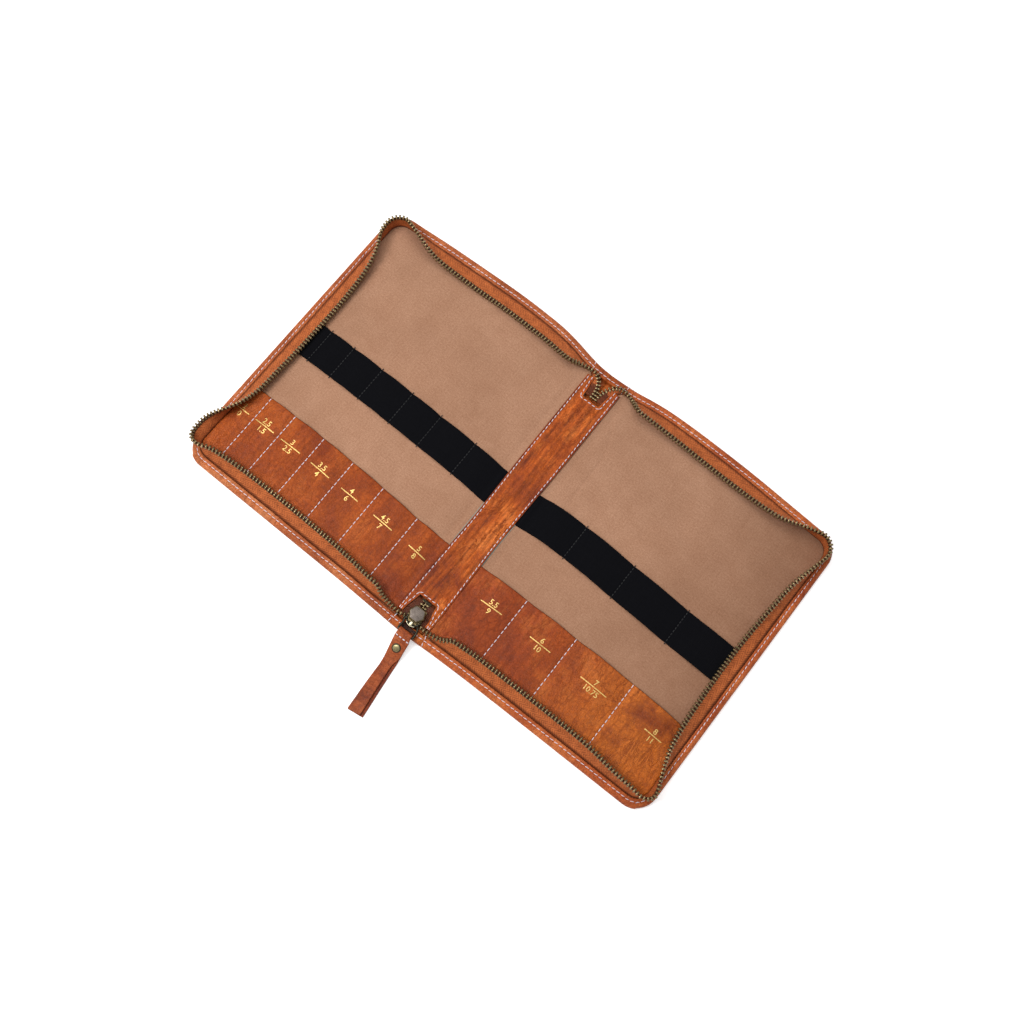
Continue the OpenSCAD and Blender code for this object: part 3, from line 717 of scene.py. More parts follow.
def build_lining(side):
    near_rim = np.array([8.5, 7.5, 6.8, LINING_IN])
    xs = np.concatenate([np.arange(LINING_START, 33, 0.75), np.arange(33, HALF - 9, 2.2), HALF - near_rim])
    rows = np.concatenate([np.arange(0, HIGH - 9, 2.2), HIGH - near_rim])
    X, Y = np.meshgrid(xs, np.concatenate([-rows[:0:-1], rows]), indexing="ij")
    pts = rows_of(*case_map(X, Y, side), lining_height(X, Y, side))
    faces = grid_faces(*X.shape, 0, side == "left")
    ob = make_mesh(side + "_cotton_lining", pts, faces, rows_of(SIDE[side] * X, Y), (M["lining"],))
    return thicken(ob, 0.3)


linings = {side: build_lining(side) for side in SIDE}
print("linings", {k: len(o.data.polygons) for k, o in linings.items()})

# %% [markdown]
# ## Pocket panels and elastic straps
#
# Both are bands sewn down along the same lines, so between two lines they stand open as a
# low arch for a needle. The columns crowd at each seam, where the thread pulls the band in.
# The leather panel is fixed along its lower edge, so its arches fade out downwards. The
# elastic is open at both edges, and keeps its arch right across.

# %% arches between seams
BAND_START, MOUTH_Y = 10.9, -46.5


def arch_columns(band, side, x_out, step):
    marks = [BAND_START] + SEAMS[band][side] + [x_out]
    xs = [x_out]
    for a, b in zip(marks[:-1], marks[1:]):
        xs += list(np.linspace(a, b, max(6, int((b - a) / step)), endpoint=False))
    for m in marks[1:-1]:
        xs += [m - 0.9, m - 0.45, m + 0.45, m + 0.9]
    return np.unique(np.round(xs, 3))


def arch_height(band, side, x, rise):
    marks = np.array([19.4] + SEAMS[band][side] + [HALF - BOARD_IN])
    k = np.clip(np.searchsorted(marks, x, "right") - 1, 0, len(marks) - 2)
    wide = marks[k + 1] - marks[k]
    share = np.clip((x - marks[k]) / wide, 0, 1)
    return np.minimum(rise, wide * 0.07) * np.sin(np.pi * share) ** 1.6


def seam_pull(band, side, x, width=0.9):
    """1 on a stitched line, fading out over a millimetre."""
    return bell(np.min([np.abs(x - m) for m in SEAMS[band][side]], axis=0), 0, width)


def over_fold(x, z, dip, drop):
    """A band sinks over the fold, and runs in under the spine strip."""
    return z - dip * bell(x, 16.8, 2.2) - drop * (1 - ease((x - 11.2) / 2.4))


def panel_height(side, x, y):
    """Top of the pocket leather at a layout point."""
    low = -(HIGH - BOARD_IN)
    v = ease((y - low) / (MOUTH_Y - low))
    soft = 0.10 * bumps(x, y, 11.0, 21.0) + 0.05 * bumps(x, y, 4.0, 22.0)
    z = 5.15 + arch_height("pocket", side, x, 1.7) * v + soft - 0.32 * seam_pull("pocket", side, x)
    return over_fold(x, z, 0.75, 1.0)


# %% pocket panels
MOUTH = {"left": ([12, 38, 66, 92, 120, 145, 175], [-49.3, -48.5, -46.8, -45.7, -44.9, -44.9, -45.6]),
         "right": ([12, 48, 86, 130, 175], [-47.6, -46.9, -46.9, -47.5, -49.6])}


def slab(name, side, X, Y, top, thick, mats, edge_drop):
    """A closed soft slab: a top sheet with rolled edges over an under sheet. A second finish
    goes on the upper edge's wall and the row beside it: dark cut edge and painted shade."""
    nx, ny = X.shape
    sheet = (nx - 1) * (ny - 1)
    mx, my = case_map(X, Y, side)
    pts = np.concatenate([rows_of(mx, my, top - edge_drop), rows_of(mx, my, top - thick)])
    grid = np.arange(nx * ny).reshape(nx, ny)
    walls = [ring_rows(a, a + nx * ny) for a in (grid[:, 0], grid[:, -1], grid[0], grid[-1])]
    faces = np.concatenate([grid_faces(nx, ny), grid_faces(nx, ny, nx * ny)] + walls)
    finish = np.zeros(len(faces), int)
    # the second finish: the leather's dark cut edge, with painted shade at the mouth
    if len(mats) > 1:
        finish[:sheet].reshape(nx - 1, ny - 1)[:, -1] = 1
        finish[2 * sheet + nx - 1:2 * (sheet + nx - 1)] = 1
    uv = np.tile(rows_of(SIDE[side] * X, Y), (2, 1))
    return face_outwards(make_mesh(name, pts, faces, uv, mats, finish))


def mouth_shift(side, x, y):
    """The pocket mouth is not quite straight: the shift fades out 30 mm below it."""
    return (curve(x, *MOUTH[side]) - MOUTH_Y) * ease((y + 78) / 30)


def build_pockets(side):
    xs = arch_columns("pocket", side, HALF - 6.6, 1.6)
    ys = np.unique(np.concatenate([np.array([6.6, 7.4, 8.6]) - HIGH, np.arange(-97.5, -49, 1.9),
                                   [-48.2, -47.4, -46.95, -46.7, MOUTH_Y]]))
    X, Y = np.meshgrid(xs, ys, indexing="ij")
    wavy = 0.35 * bumps(X, Y * 0, 16.0, 31.0 + SIDE[side]) * ease((Y + 60) / 12)
    top = panel_height(side, X, Y)
    rolled = 0.38 * ease(Y + 47.5) ** 1.5
    Y = Y + wavy + mouth_shift(side, X, Y)
    return slab(side + "_pocket_panel", side, X, Y, top, 1.05, (M["pocket_" + side], M["cut_edge_and_shade"]), rolled)


pockets = {side: build_pockets(side) for side in SIDE}
print("pocket panels", {k: len(o.data.polygons) for k, o in pockets.items()})

# %% elastic straps
STRAP_HALF, STRAP_IN = 12.5, 6.8
STRAP_Y = {"left": ([12, 40, 68, 92, 117, 175], [-1.9, -0.3, 0.4, 1.0, 1.35, 1.0]),
           "right": ([12, 22, 48, 87, 130, 175], [-1.4, -0.2, 0.65, -0.75, -2.55, -3.8])}


def strap_height(side, x, y):
    z = 5.05 + arch_height("strap", side, x, 1.1) - 0.30 * seam_pull("strap", side, x, 0.7)
    return over_fold(x, z, 0.7, 0.95) + 0.05 * bumps(x, y, 5.0, 41.0)


def build_strap(side):
    half_rows = np.array([0, 3, 6, 9, 11, 11.8, 12.2, 12.42, STRAP_HALF])
    xs = arch_columns("strap", side, HALF - STRAP_IN, 1.3)
    X, Y = np.meshgrid(xs, np.concatenate([-half_rows[:0:-1], half_rows]), indexing="ij")
    pinch = 0.28 * seam_pull("strap", side, X, 1.4) + 0.10 * bumps(X, X * 0, 9.0, 43.0 + SIDE[side])
    top = strap_height(side, X, Y)
    rolled = 0.45 * (np.abs(Y) / STRAP_HALF) ** 40
    Y = Y - Y / STRAP_HALF * pinch + curve(X, *STRAP_Y[side])
    return slab(side + "_elastic_strap", side, X, Y, top, 0.95, (M["elastic"],), rolled)


straps = {side: build_strap(side) for side in SIDE}
print("straps", {k: len(o.data.polygons) for k, o in straps.items()})

# %% [markdown]
# ## The spine strip
#
# One strip of bright leather covers the inside of the spine. It is notched at both ends
# for the zip, and bending the case has given it long wrinkles. The grid leaves out the
# cells of the notches, Solidify gives the thickness, and a small bevel softens the cut edge.

# %% spine strip
STRIP_HALF, STRIP_TOP, NOTCH = 13.0, 5.4, 6.6
STRIP_ENDS = np.array([-99.0, 94.5])
STRIP_CUTS = STRIP_ENDS + np.array([14.2, -14.2])


def waist(y):
    """The strip narrows a little where the case is bent most often."""
    return curve(y, [-99, -85, -55, -30, 0, 28, 60, 94], [0.98, 0.98, 0.93, 0.885, 0.925, 0.965, 0.975, 0.98])


def flare(x, y):
    """Both notches open wider towards the rim, most of all the slider's."""
    open_end = 2.3 * ease((STRIP_CUTS[0] - y) / 13.0) + ease((y - STRIP_CUTS[1]) / 14.0)
    return x + np.sign(x) * open_end * ease(np.abs(x) / NOTCH) * ease((12.9 - np.abs(x)) / 5.0)


def strip_height(x, y):
    long_wrinkle = 0.26 * bumps(x, y * 0.09, 3.0, 51.0) + 0.13 * bumps(x, y * 0.2, 1.4, 52.0)
    edge = STRIP_HALF - np.abs(x)
    pillow = 0.12 * ease(edge / 4.0) - 0.16 * bell(edge, 1.3, 0.5)
    return STRIP_TOP - 0.05 + long_wrinkle + 0.07 * bumps(x, y, 4.5, 53.0) + pillow


def build_strip():
    (low, high), (low_cut, high_cut) = STRIP_ENDS, STRIP_CUTS
    xs = steps(np.linspace(-STRIP_HALF, -NOTCH, 12), np.linspace(-NOTCH, NOTCH, 16),
               np.linspace(NOTCH, STRIP_HALF, 12))
    ys = steps(np.linspace(low, low_cut, 10), np.linspace(low_cut, high_cut, 110),
               np.linspace(high_cut, high, 10))
    X, Y = np.meshgrid(xs, ys, indexing="ij")
    edge_x = flare(X, Y) * waist(Y) + 0.12 * bumps(X * 0, Y, 12.0, 54.0) * np.sign(X)
    faces = grid_faces(*X.shape)
    cx, cy = rows_of(X, Y)[faces].mean(1).T
    keep = (np.abs(cx) > NOTCH) | ((cy > low_cut) & (cy < high_cut))
    pts = rows_of(edge_x, Y, strip_height(X, Y))
    ob = make_mesh("spine_inner_strip", pts, faces[keep], rows_of(X, Y), (M["strip"],))
    bm = bmesh.new()
    bm.from_mesh(ob.data)
    bmesh.ops.delete(bm, geom=[v for v in bm.verts if not v.link_faces], context="VERTS")
    bm.to_mesh(ob.data)
    bm.free()
    return thicken(ob, 1.15, soft=0.3)


strip = build_strip()
print("spine strip", len(strip.data.polygons))

# %% [markdown]
# ## The zip's path
#
# Each half of the zip is a ribbon with three guide lines: its root under the lip, the fold
# where it turns up, and its free edge with the teeth. A used zip leans inwards along each
# edge, stands up at the corners and flops outwards at some of them, so the lean in degrees
# is a smooth line through a few values on each edge. At the spine the tape drops, crosses
# onto it, and lies flat in the notch.

# %% guide lines of the zip
TAPE_LONG = {"low": 9.7, "side": 9.7, "top": 10.2}
TAPE_START = 24.8
ROOT_IN = RIM_W + 0.55
# degrees inwards from upright, at places along each edge
LEAN = {
    "left": {
        "low": ([20, 28, 36, 50, 70, 95, 120, 150, 170], [37, 36, 35, 45, 58, 64, 63, 49, 27]),
        "side": ([-92, -85, -75, -65, -50, -30, 0, 40, 60, 75, 85, 94],
                 [-46, -45, -13, 20, 51, 62, 72, 70, 54, 24, -6, -12]),
        "top": ([20, 26, 32, 50, 80, 110, 140, 155, 170], [50, 56, 66, 76, 82, 82, 61, 24, -10])},
    "right": {
        "low": ([20, 26, 32, 45, 60, 100, 130, 150, 170], [50, 49, 50, 59, 60, 58, 49, 28, 18]),
        "side": ([-92, -80, -65, -50, -30, 0, 20, 40, 60, 75, 94],
                  [-24, 6, 38, 54, 66, 74, 66, 51, 36, 15, -14]),
        "top": ([20, 26, 40, 60, 80, 100, 125, 140, 155, 168], [36, 46, 60, 70, 76, 77, 64, 48, 14, -12])},
}
# the run from the notch out to the rim: x, y and z of the free edge, then of the root
LOW_END = [
    [0.9, 0.9, 0.95, 1.6, 3.0, 5.2, 8.0, 12.0, 16.5, 21.0],
    [-86.0, -90, -94, -97.2, -99.8, -101.1, -101.6, -101.5, -100.9, -100.2],
    [3.9, 3.9, 3.9, 3.9, 4.0, 4.8, 5.8, 6.6, 7.0, 7.4],
    [8.6, 8.6, 8.6, 8.8, 9.4, 10.4, 12.0, 14.5, 18.0, 21.5],
    [-86.0, -90, -93, -95.4, -97.4, -99.4, -101.4, -102.6, -103.0, -103.0],
    [3.9, 3.9, 3.9, 3.9, 3.9, 3.95, 4.1, 4.3, 4.4, 4.5]]
TOP_END = [
    [0.9, 0.9, 0.95, 1.5, 2.9, 4.9, 8.2, 12.5, 17.0, 21.0],
    [80.6, 84, 87.5, 90.4, 93.4, 96.3, 97.9, 97.8, 96.5, 95.6],
    [3.9, 3.9, 3.9, 4.0, 4.6, 5.3, 6.0, 6.5, 6.9, 7.2],
    [8.6, 8.6, 8.6, 8.8, 9.4, 10.4, 12.0, 14.5, 18.0, 21.5],
    [80.6, 84, 86.5, 89, 91.4, 94.2, 97.2, 98.9, 99.6, 100.1],
    [3.9, 3.9, 3.9, 3.9, 3.9, 3.95, 4.1, 4.3, 4.4, 4.5]]
ZIP_ENDS = {("left", "low"): np.array(LOW_END), ("left", "top"): np.array(TOP_END),
            ("right", "low"): np.array(LOW_END), ("right", "top"): np.array(TOP_END)}
ZIP_ENDS["right", "low"][1, 5:] = [-100.8, -101.2, -101.0, -100.2, -99.2]
ZIP_ENDS["right", "top"][:3, 2:] = [[1.1, 2.1, 4.1, 6.2, 9.0, 12.8, 17.0, 21.0],
                                    [87.5, 90.5, 94.0, 97.2, 99.2, 99.5, 98.3, 96.8],
                                    [3.9, 4.1, 4.8, 5.5, 6.1, 6.6, 7.0, 7.3]]
ZIP_ENDS["right", "top"][4, 7:] = [98.2, 98.5, 98.8]


def lean_at(side, edge, at):
    return float(curve(at, *LEAN[side][edge]))


def rim_station(side, edge, x, y, heading, lean):
    """Root, fold and free edge of the tape at one place on the rim."""
    x, y = x + float(side_shift(x)), y + float(outline_shift(x, y, side))
    a = math.radians(lean)
    n = np.array([-math.sin(heading), math.cos(heading), 0.0])
    # near the spine the tape comes out lower, and less of it shows
    long = min(TAPE_LONG[edge], (1.4 + 0.95 * (x - FOLD_X) - FOLD_Z) / math.cos(a) - 1.35)
    fold = np.array([x, y, FOLD_Z - 0.1])
    free = np.array([x, y, FOLD_Z]) + long * (n * math.sin(a) + np.array([0, 0, math.cos(a)]))
    return np.array([x, y, 4.1]) - 0.35 * n, fold, free


def end_stations(side, edge):
    """The tape's run from the notch out to the rim, in layout x."""
    free, root = np.split(ZIP_ENDS[side, edge].T, 2, axis=1)
    return list(zip(root, root + 0.12 * (free - root) + [0, 0, 0.15], free))


def corner_stations(side, top):
    """Stations round one corner; the lean turns from that of one edge to that of the next."""
    cx, cy, r = HALF - CORNER, HIGH - CORNER, CORNER - ROOT_IN
    edge, sign = ("top", 1) if top else ("low", -1)
    along, up = lean_at(side, edge, cx + 2), lean_at(side, "side", sign * cy)
    out = []
    for share in np.arange(0, 1, 0.1):
        q = math.pi / 2 * (share if top else share - 1)
        lean = up + (along - up) * ease(share) if top else along + (up - along) * ease(share)
        x, y = cx + r * math.cos(q), sign * cy + r * math.sin(q)
        out.append(rim_station(side, "side", x, y, q + math.pi / 2, lean))
    return out


def zip_path(side):
    cx, cy = HALF - CORNER, HIGH - CORNER
    low = [rim_station(side, "low", x, -HIGH + ROOT_IN, 0.0, lean_at(side, "low", x))
           for x in np.arange(TAPE_START, cx, 2.5)]
    short = [rim_station(side, "side", HALF - ROOT_IN, y, math.pi / 2, lean_at(side, "side", y))
             for y in np.arange(-cy, cy, 2.5)]
    top = [rim_station(side, "top", x, HIGH - ROOT_IN, math.pi, lean_at(side, "top", x))
           for x in np.arange(cx, TAPE_START, -2.5)]
    lines = np.array(end_stations(side, "low") + low + corner_stations(side, False) + short
                     + corner_stations(side, True) + top + end_stations(side, "top")[::-1])
    lines[:, :, 0] *= SIDE[side]
    return lines


def even(lines, step, start=0.0):
    """Guide lines resampled to equal steps along the free edge."""
    run = np.concatenate([[0], np.cumsum(np.linalg.norm(np.diff(lines[:, 2], axis=0), axis=1))])
    at = np.arange(start, run[-1], step)
    at_guides = [np.stack([np.interp(at, run, lines[:, g, k]) for k in range(3)], 1) for g in range(3)]
    return np.stack(at_guides, 1)


def smooth(lines, passes=3):
    for _ in range(passes):
        lines[1:-1] = 0.25 * lines[:-2] + 0.5 * lines[1:-1] + 0.25 * lines[2:]
    return lines


paths = {side: smooth(even(zip_path(side), 1.2)) for side in SIDE}
print("zip stations", {k: len(v) for k, v in paths.items()})

# %% [markdown]
# ## Tape and teeth
#
# The tape is a thin ribbon lofted over the guide lines, with a slight bow. The teeth are one
# bevelled tooth repeated by Geometry Nodes: the points carry their turn as an attribute, and
# the tree puts a tooth on each, makes the copies real and sets the material.

# %% tape ribbons
TAPE_END = 11.0
TAPE_STEP = 1.6


def build_tape(side):
    lines = even(paths[side], TAPE_STEP)
    root, fold, free = lines[:, 0], lines[:, 1], lines[:, 2]
    run = np.gradient(free, axis=0)
    run /= np.linalg.norm(run, axis=1)[:, None]
    lean = free - fold
    long = np.linalg.norm(lean, axis=1)
    out = np.cross(run, lean / long[:, None]) * SIDE[side]
    k = np.arange(len(free))
    wave = np.array([noise.noise(Vector((i * 0.11, 3.0 * SIDE[side], 0))) for i in k])
    rows, vs = [root, fold], [np.full(len(k), -1.2), np.zeros(len(k))]
    for share in (0.12, 0.3, 0.5, 0.66, 0.79, 1.0):
        bow = (0.35 + 0.5 * wave) * math.sin(math.pi * share) * np.clip(long / 9, 0, 1)
        rows.append(fold + lean * share - out * bow[:, None])
        vs.append(long * share)
    P, V = np.stack(rows, 1), np.stack(vs, 1)
    U = np.repeat((k * TAPE_STEP)[:, None], P.shape[1], 1)
    # where the tape is sewn down in the notches it takes the dark notch leather, as painted shade under the
    # spine strip; it is corded along the free edge
    notch_shade_faces = (k < TAPE_END / TAPE_STEP + 4) | (k > len(k) - 1 - TAPE_END / TAPE_STEP)
    finish = np.repeat(notch_shade_faces[:-1, None].astype(int), P.shape[1] - 1, 1)
    # the last band takes the dark edge finish: the cord's own colour and painted shade between the teeth
    finish[:, -1] = 2
    ob = make_mesh(side + "_zip_tape", P.reshape(-1, 3), grid_faces(*P.shape[:2]), rows_of(U, V),
                   (M["tape"], M["notch"], M["cord"]), finish.ravel())
    ob["flat_area"] = float(sum(f.area for f in ob.data.polygons))
    ob["flat_length"] = float(k[-1] * TAPE_STEP * MM)
    return thicken(ob, 0.55, 0.0)


tapes = {side: build_tape(side) for side in SIDE}
print("tapes", {k: len(o.data.polygons) for k, o in tapes.items()})

# %% one tooth
def build_tooth():
    """A clamped leg, a waist and a rounded head with its small nib, along +Z."""
    bm = bmesh.new()
    blocks = [(1.1, 2.3, -1.6, 0.25), (0.85, 1.8, 0.15, 0.75), (1.25, 2.3, 0.65, 1.45), (0.6, 1.0, 1.4, 1.75)]
    for w, t, z0, z1 in blocks:
        made = bmesh.ops.create_cube(bm, size=1.0)["verts"]
        bmesh.ops.scale(bm, vec=(w, t, z1 - z0), verts=made)
        bmesh.ops.translate(bm, vec=(0, 0, (z0 + z1) / 2), verts=made)
    bmesh.ops.scale(bm, vec=(MM, MM, MM), verts=bm.verts)
    bmesh.ops.bevel(bm, geom=bm.edges[:], offset=0.14 * MM, segments=1, affect="EDGES")
    me = bpy.data.meshes.new("tooth_shape")
    bm.to_mesh(me)
    bm.free()
    me.polygons.foreach_set("use_smooth", np.ones(len(me.polygons), bool))
    return show("tooth_shape", me)


tooth = build_tooth()
print("tooth faces", len(tooth.data.polygons))


# %% geometry nodes: put a shape on turned points
def place_copies(given, out, points, shape, turn, scale):
    """A shape on each point, made real, in the given finish."""
    placed = add("GeometryNodeInstanceOnPoints", {
        "Points": points, "Instance": shape, "Rotation": turn, "Scale": scale})
    real = add("GeometryNodeRealizeInstances", {0: placed})
    feed(out, {0: add("GeometryNodeSetMaterial", {"Geometry": real, "Material": given["Finish"]})})


def points_tree():
    group, given, out = new_group("GeometryNodeTree", "shape_on_points", {
        "Geometry": "Geometry", "Shape": "Object", "Scale": 1.0, "Finish": "Material"}, ("Geometry",))
    shape = add("GeometryNodeObjectInfo", {"Object": given["Shape"]}, "Geometry")
    turn = put(group, "GeometryNodeInputNamedAttribute", {"Name": "turn"}, data_type="FLOAT_VECTOR")
    turn = add("FunctionNodeEulerToRotation", {0: Wire(turn, "Attribute")})
    place_copies(given, out, given["Geometry"], shape, turn, given["Scale"])
    return group


def grow(ob, tree, **values):
    """Run a geometry tree on an object, and keep the result as a plain mesh."""
    mod = ob.modifiers.new("grow", "NODES")
    mod.node_group = tree
    for item in tree.interface.items_tree:
        if getattr(item, "in_out", "") == "INPUT" and item.name in values:
            mod[item.identifier] = values[item.name]
    return bake(ob)


def on_points(name, pos, turns, shape, finish, scale=1.0):
    ob = make_mesh(name, pos)
    at = ob.data.attributes.new("turn", "FLOAT_VECTOR", "POINT")
    at.data.foreach_set("vector", np.asarray(turns, np.float32).ravel())
    return grow(ob, POINTS, Shape=shape, Scale=scale, Finish=finish)


POINTS = points_tree()


# %% rows of teeth
PITCH = 2.4


def build_teeth(side):
    """The two rows stand half a pitch apart, so that they can mesh."""
    lines = even(paths[side], PITCH, 0.6 if side == "left" else 1.8)
    fine = even(paths[side], 0.4)
    pos, turns = [], []
    for i, (_, fold, free) in enumerate(lines):
        k = int(np.argmin(np.linalg.norm(fine[:, 2] - free, axis=1)))
        a, b = fine[max(0, k - 3), 2], fine[min(len(fine) - 1, k + 3), 2]
        along = (b - a) / np.linalg.norm(b - a)
        up = (free - fold) / np.linalg.norm(free - fold)
        across = np.cross(up, along)
        across /= np.linalg.norm(across)
        up = np.cross(along, across)
        jig = noise.noise(Vector((i * 1.7, SIDE[side], 0)))
        m = Matrix([Vector(along), Vector(across), Vector(up)]).transposed()
        m = m @ Matrix.Rotation(0.10 * jig, 3, "Y")
        pos.append(free - 0.3 * up)
        turns.append(list(m.to_euler()))
    return on_points(side + "_zip_teeth", pos, turns, tooth, M["teeth"])


teeth = {side: build_teeth(side) for side in SIDE}
print("teeth faces", {k: len(o.data.polygons) for k, o in teeth.items()})

# %% [markdown]
# ## Stitches
#
# Every seam on the case is the same thing: a thread that dips in and out at a fixed pitch. A
# second Geometry Nodes tree takes polylines, resamples them by the pitch, and puts a
# slightly slanted, rounded length of thread on each step.

# %% geometry nodes: stitches along lines
def stitch_tree():
    group, given, out = new_group("GeometryNodeTree", "stitches_on_lines", {
        "Geometry": "Geometry", "Pitch": 0.0032, "Length": 0.0025, "Thread": 0.0005, "Slant": 0.12,
        "Finish": "Material"}, ("Geometry",))
    line = add("GeometryNodeMeshToCurve", {0: given["Geometry"]})
    points = add("GeometryNodeResampleCurve", {"Curve": line, "Length": given["Pitch"]}, mode="LENGTH")
    ball = Wire(put(group, "GeometryNodeMeshUVSphere", {"Segments": 8, "Rings": 6, "Radius": 1.0}))
    ball = add("GeometryNodeSetShadeSmooth", {0: ball})
    half = given["Length"] * 0.5, given["Thread"] * 0.5, given["Thread"] * 0.42
    size = add("ShaderNodeCombineXYZ", dict(enumerate(half)))
    tangent = Wire(put(group, "GeometryNodeInputTangent"))
    aim = add("FunctionNodeAlignRotationToVector", {"Vector": tangent}, axis="X", pivot_axis="Z")
    slant = add("FunctionNodeEulerToRotation", {0: add("ShaderNodeCombineXYZ", {2: given["Slant"]})})
    lean = add("FunctionNodeRotateRotation", {0: aim, 1: slant}, rotation_space="LOCAL")
    place_copies(given, out, points, ball, lean, size)
    return group


STITCH = stitch_tree()


def stitches(name, runs, finish, pitch, length, thread, slant=0.1):
    pts, edges = [], []
    for run in runs:
        edges += [(len(pts) + i, len(pts) + i + 1) for i in range(len(run) - 1)]
        pts += [list(p) for p in run]
    ob = make_mesh(name, pts, edges=edges)
    return grow(ob, STITCH, Pitch=pitch * MM, Length=length * MM, Thread=thread * MM,
                Slant=slant, Finish=finish)


# %% stitch lines of the rim
def lay(side, x, y, z):
    return rows_of(*case_map(x, y, side), z)


def rim_run(side, inset):
    """One seam round a half. At the bottom it stops short of the slider's pull."""
    a, b = HALF - inset, HIGH - inset
    high = np.arange(0, a, 1.5)
    low = high[high > (4.2 if side == "left" else 7.2)]
    up = np.arange(-b, b, 1.5)
    x = np.concatenate([low, np.full(len(up), a), high[::-1]])
    y = np.concatenate([np.full(len(low), -b), up, np.full(len(high), b)])
    return lay(side, x, y, rim_height(x, y) + 0.10)


def spine_seam(side, top):
    """The short row that crosses the rim near the edge of the spine piece."""
    d = np.linspace(1.5, 5.9, 8)
    y = (HIGH - d) * (1 if top else -1)
    x = SPINE_PIECE - 1.4 - (0.0 if top else {"left": 2.2, "right": -0.6}[side]) - 0.25 * (d - 3.7)
    return lay(side, x, y, rim_height(x, y) + 0.1)


sewing = []
for side in SIDE:
    runs = [rim_run(side, 3.9), spine_seam(side, True), spine_seam(side, False)]
    rim_sewing = stitches(side + "_rim_stitches", runs, M["thread"], pitch=3.34, length=3.0, thread=0.56)
    sewing.append((rim_sewing, side))
print("rim stitches", [len(o.data.polygons) for o, _ in sewing])

# %% stitch lines of the strip, pockets and straps
def pocket_runs(side):
    y = np.arange(-98.0, -47.4, 1.0)
    columns = [np.full(len(y), m) for m in SEAMS["pocket"][side]]
    return [lay(side, x, y + mouth_shift(side, x, y), panel_height(side, x, y) + 0.12) for x in columns]


def strap_runs(side):
    y = np.linspace(-12.7, 12.7, 13)
    columns = [np.full(len(y), m) for m in SEAMS["strap"][side]]
    return [lay(side, x, y + curve(x, *STRAP_Y[side]), strap_height(side, x, y) + 0.12) for x in columns]


def strip_runs():
    e, n = STRIP_HALF - 1.3, NOTCH + 1.3
    low, high = STRIP_ENDS + [1, -1]
    y = np.arange(low, high, 1.5)
    runs = [rows_of(s * e * waist(y), y, strip_height(np.full(len(y), s * e), y) + 0.12) for s in (-1, 1)]
    for end, cut in ((low, STRIP_CUTS[0] + 1.3), (high, STRIP_CUTS[1] - 1.3)):
        leg = np.linspace(end, cut, 9)
        x = np.concatenate([np.full(9, -n), np.linspace(-n, n, 10), np.full(9, n)])
        y = np.concatenate([leg, np.full(10, cut), np.linspace(cut, end, 9)])
        runs.append(rows_of(flare(x, y), y, strip_height(x, y) + 0.12))
    return runs


strip_sewing = stitches("strip_stitches", strip_runs(), M["thread"], pitch=3.1, length=2.5, thread=0.56)
for side in SIDE:
    sewing.append((stitches(side + "_pocket_stitches", pocket_runs(side), M["thread"],
                            pitch=3.2, length=2.8, thread=0.62, slant=0.0), side))
    sewing.append((stitches(side + "_strap_stitches", strap_runs(side), M["black_thread"],
                            pitch=2.3, length=1.9, thread=0.75, slant=0.0), side))
print("sewn rows", len(sewing) + 1)

# %% [markdown]
# ## Size marks
#
# Each pocket has its needle size stamped in gold foil: the metric size over a bar, and a
# second size number under it. They are plain generic numbers. Text is made as a curve,
# turned into a mesh, and each point is dropped straight down onto the arched leather.

# %% size marks
# upper number, lower number, bar centre out from the spine, bar down from the middle, bar width, tilt
MARKS = {
    "left": [("5", "8", 24.7, 65.8, 13.5, -0.06), ("4.5", "7", 53.2, 64.4, 15.3, -0.046),
             ("4", "6", 80.8, 63.4, 13.8, -0.03), ("3.5", "4", 105.4, 62.7, 15.5, -0.05),
             ("3", "2.5", 130.0, 62.2, 15.8, 0.0), ("2.5", "1.5", 151.3, 62.2, 14.8, 0.0),
             ("2", "0", 169.4, 62.5, 10.8, 0.0)],
    "right": [("5.5", "9", 32.9, 64.2, 15.9, 0.044), ("6", "10", 70.5, 63.8, 15.8, 0.0),
              ("7", "10.75", 111.8, 64.1, 19.7, -0.015), ("8", "11", 157.6, 65.2, 13.0, -0.035)],
}
NUMBER_SIZE, BAR_THICK, FOIL_RISE = 5.0, 0.62, 0.07


def number_mesh(text):
    cu = bpy.data.curves.new("number", "FONT")
    cu.body, cu.size, cu.align_x, cu.align_y = text, NUMBER_SIZE, "CENTER", "BOTTOM_BASELINE"
    cu.offset, cu.resolution_u = 0.05, 3
    ob = show("number", cu)
    me = as_mesh(ob)
    pts = np.array([v.co[:] for v in me.vertices])
    faces = [list(p.vertices) for p in me.polygons]
    bpy.data.objects.remove(ob)
    bpy.data.meshes.remove(me)
    return pts, faces


def bar_mesh(wide):
    x = np.linspace(-wide / 2, wide / 2, 12)
    pts = np.array([(a, b, 0) for a in x for b in (-BAR_THICK / 2, BAR_THICK / 2)])
    return pts, grid_faces(12, 2).tolist()


def build_marks(side):
    panel = BVHTree.FromObject(pockets[side], bpy.context.evaluated_depsgraph_get())
    pts, faces = [], []
    for upper, lower, x0, down, wide, tilt in MARKS[side]:
        for (p, f), dy in ((number_mesh(upper), 1.1), (bar_mesh(wide), 0.0), (number_mesh(lower), -4.7)):
            faces += [[len(pts) + i for i in poly] for poly in f]
            for x, y in zip(SIDE[side] * x0 + p[:, 0], dy - down + p[:, 1] + tilt * p[:, 0]):
                hit = panel.ray_cast(Vector((x * MM, y * MM, 0.03)), Vector((0, 0, -1)))[0]
                pts.append((x, y, hit.z / MM + FOIL_RISE))
    return make_mesh(side + "_size_marks", pts, faces, None, (M["foil"],), smooth=False)


marks = {side: build_marks(side) for side in SIDE}
print("marks", {k: len(o.data.polygons) for k, o in marks.items()})

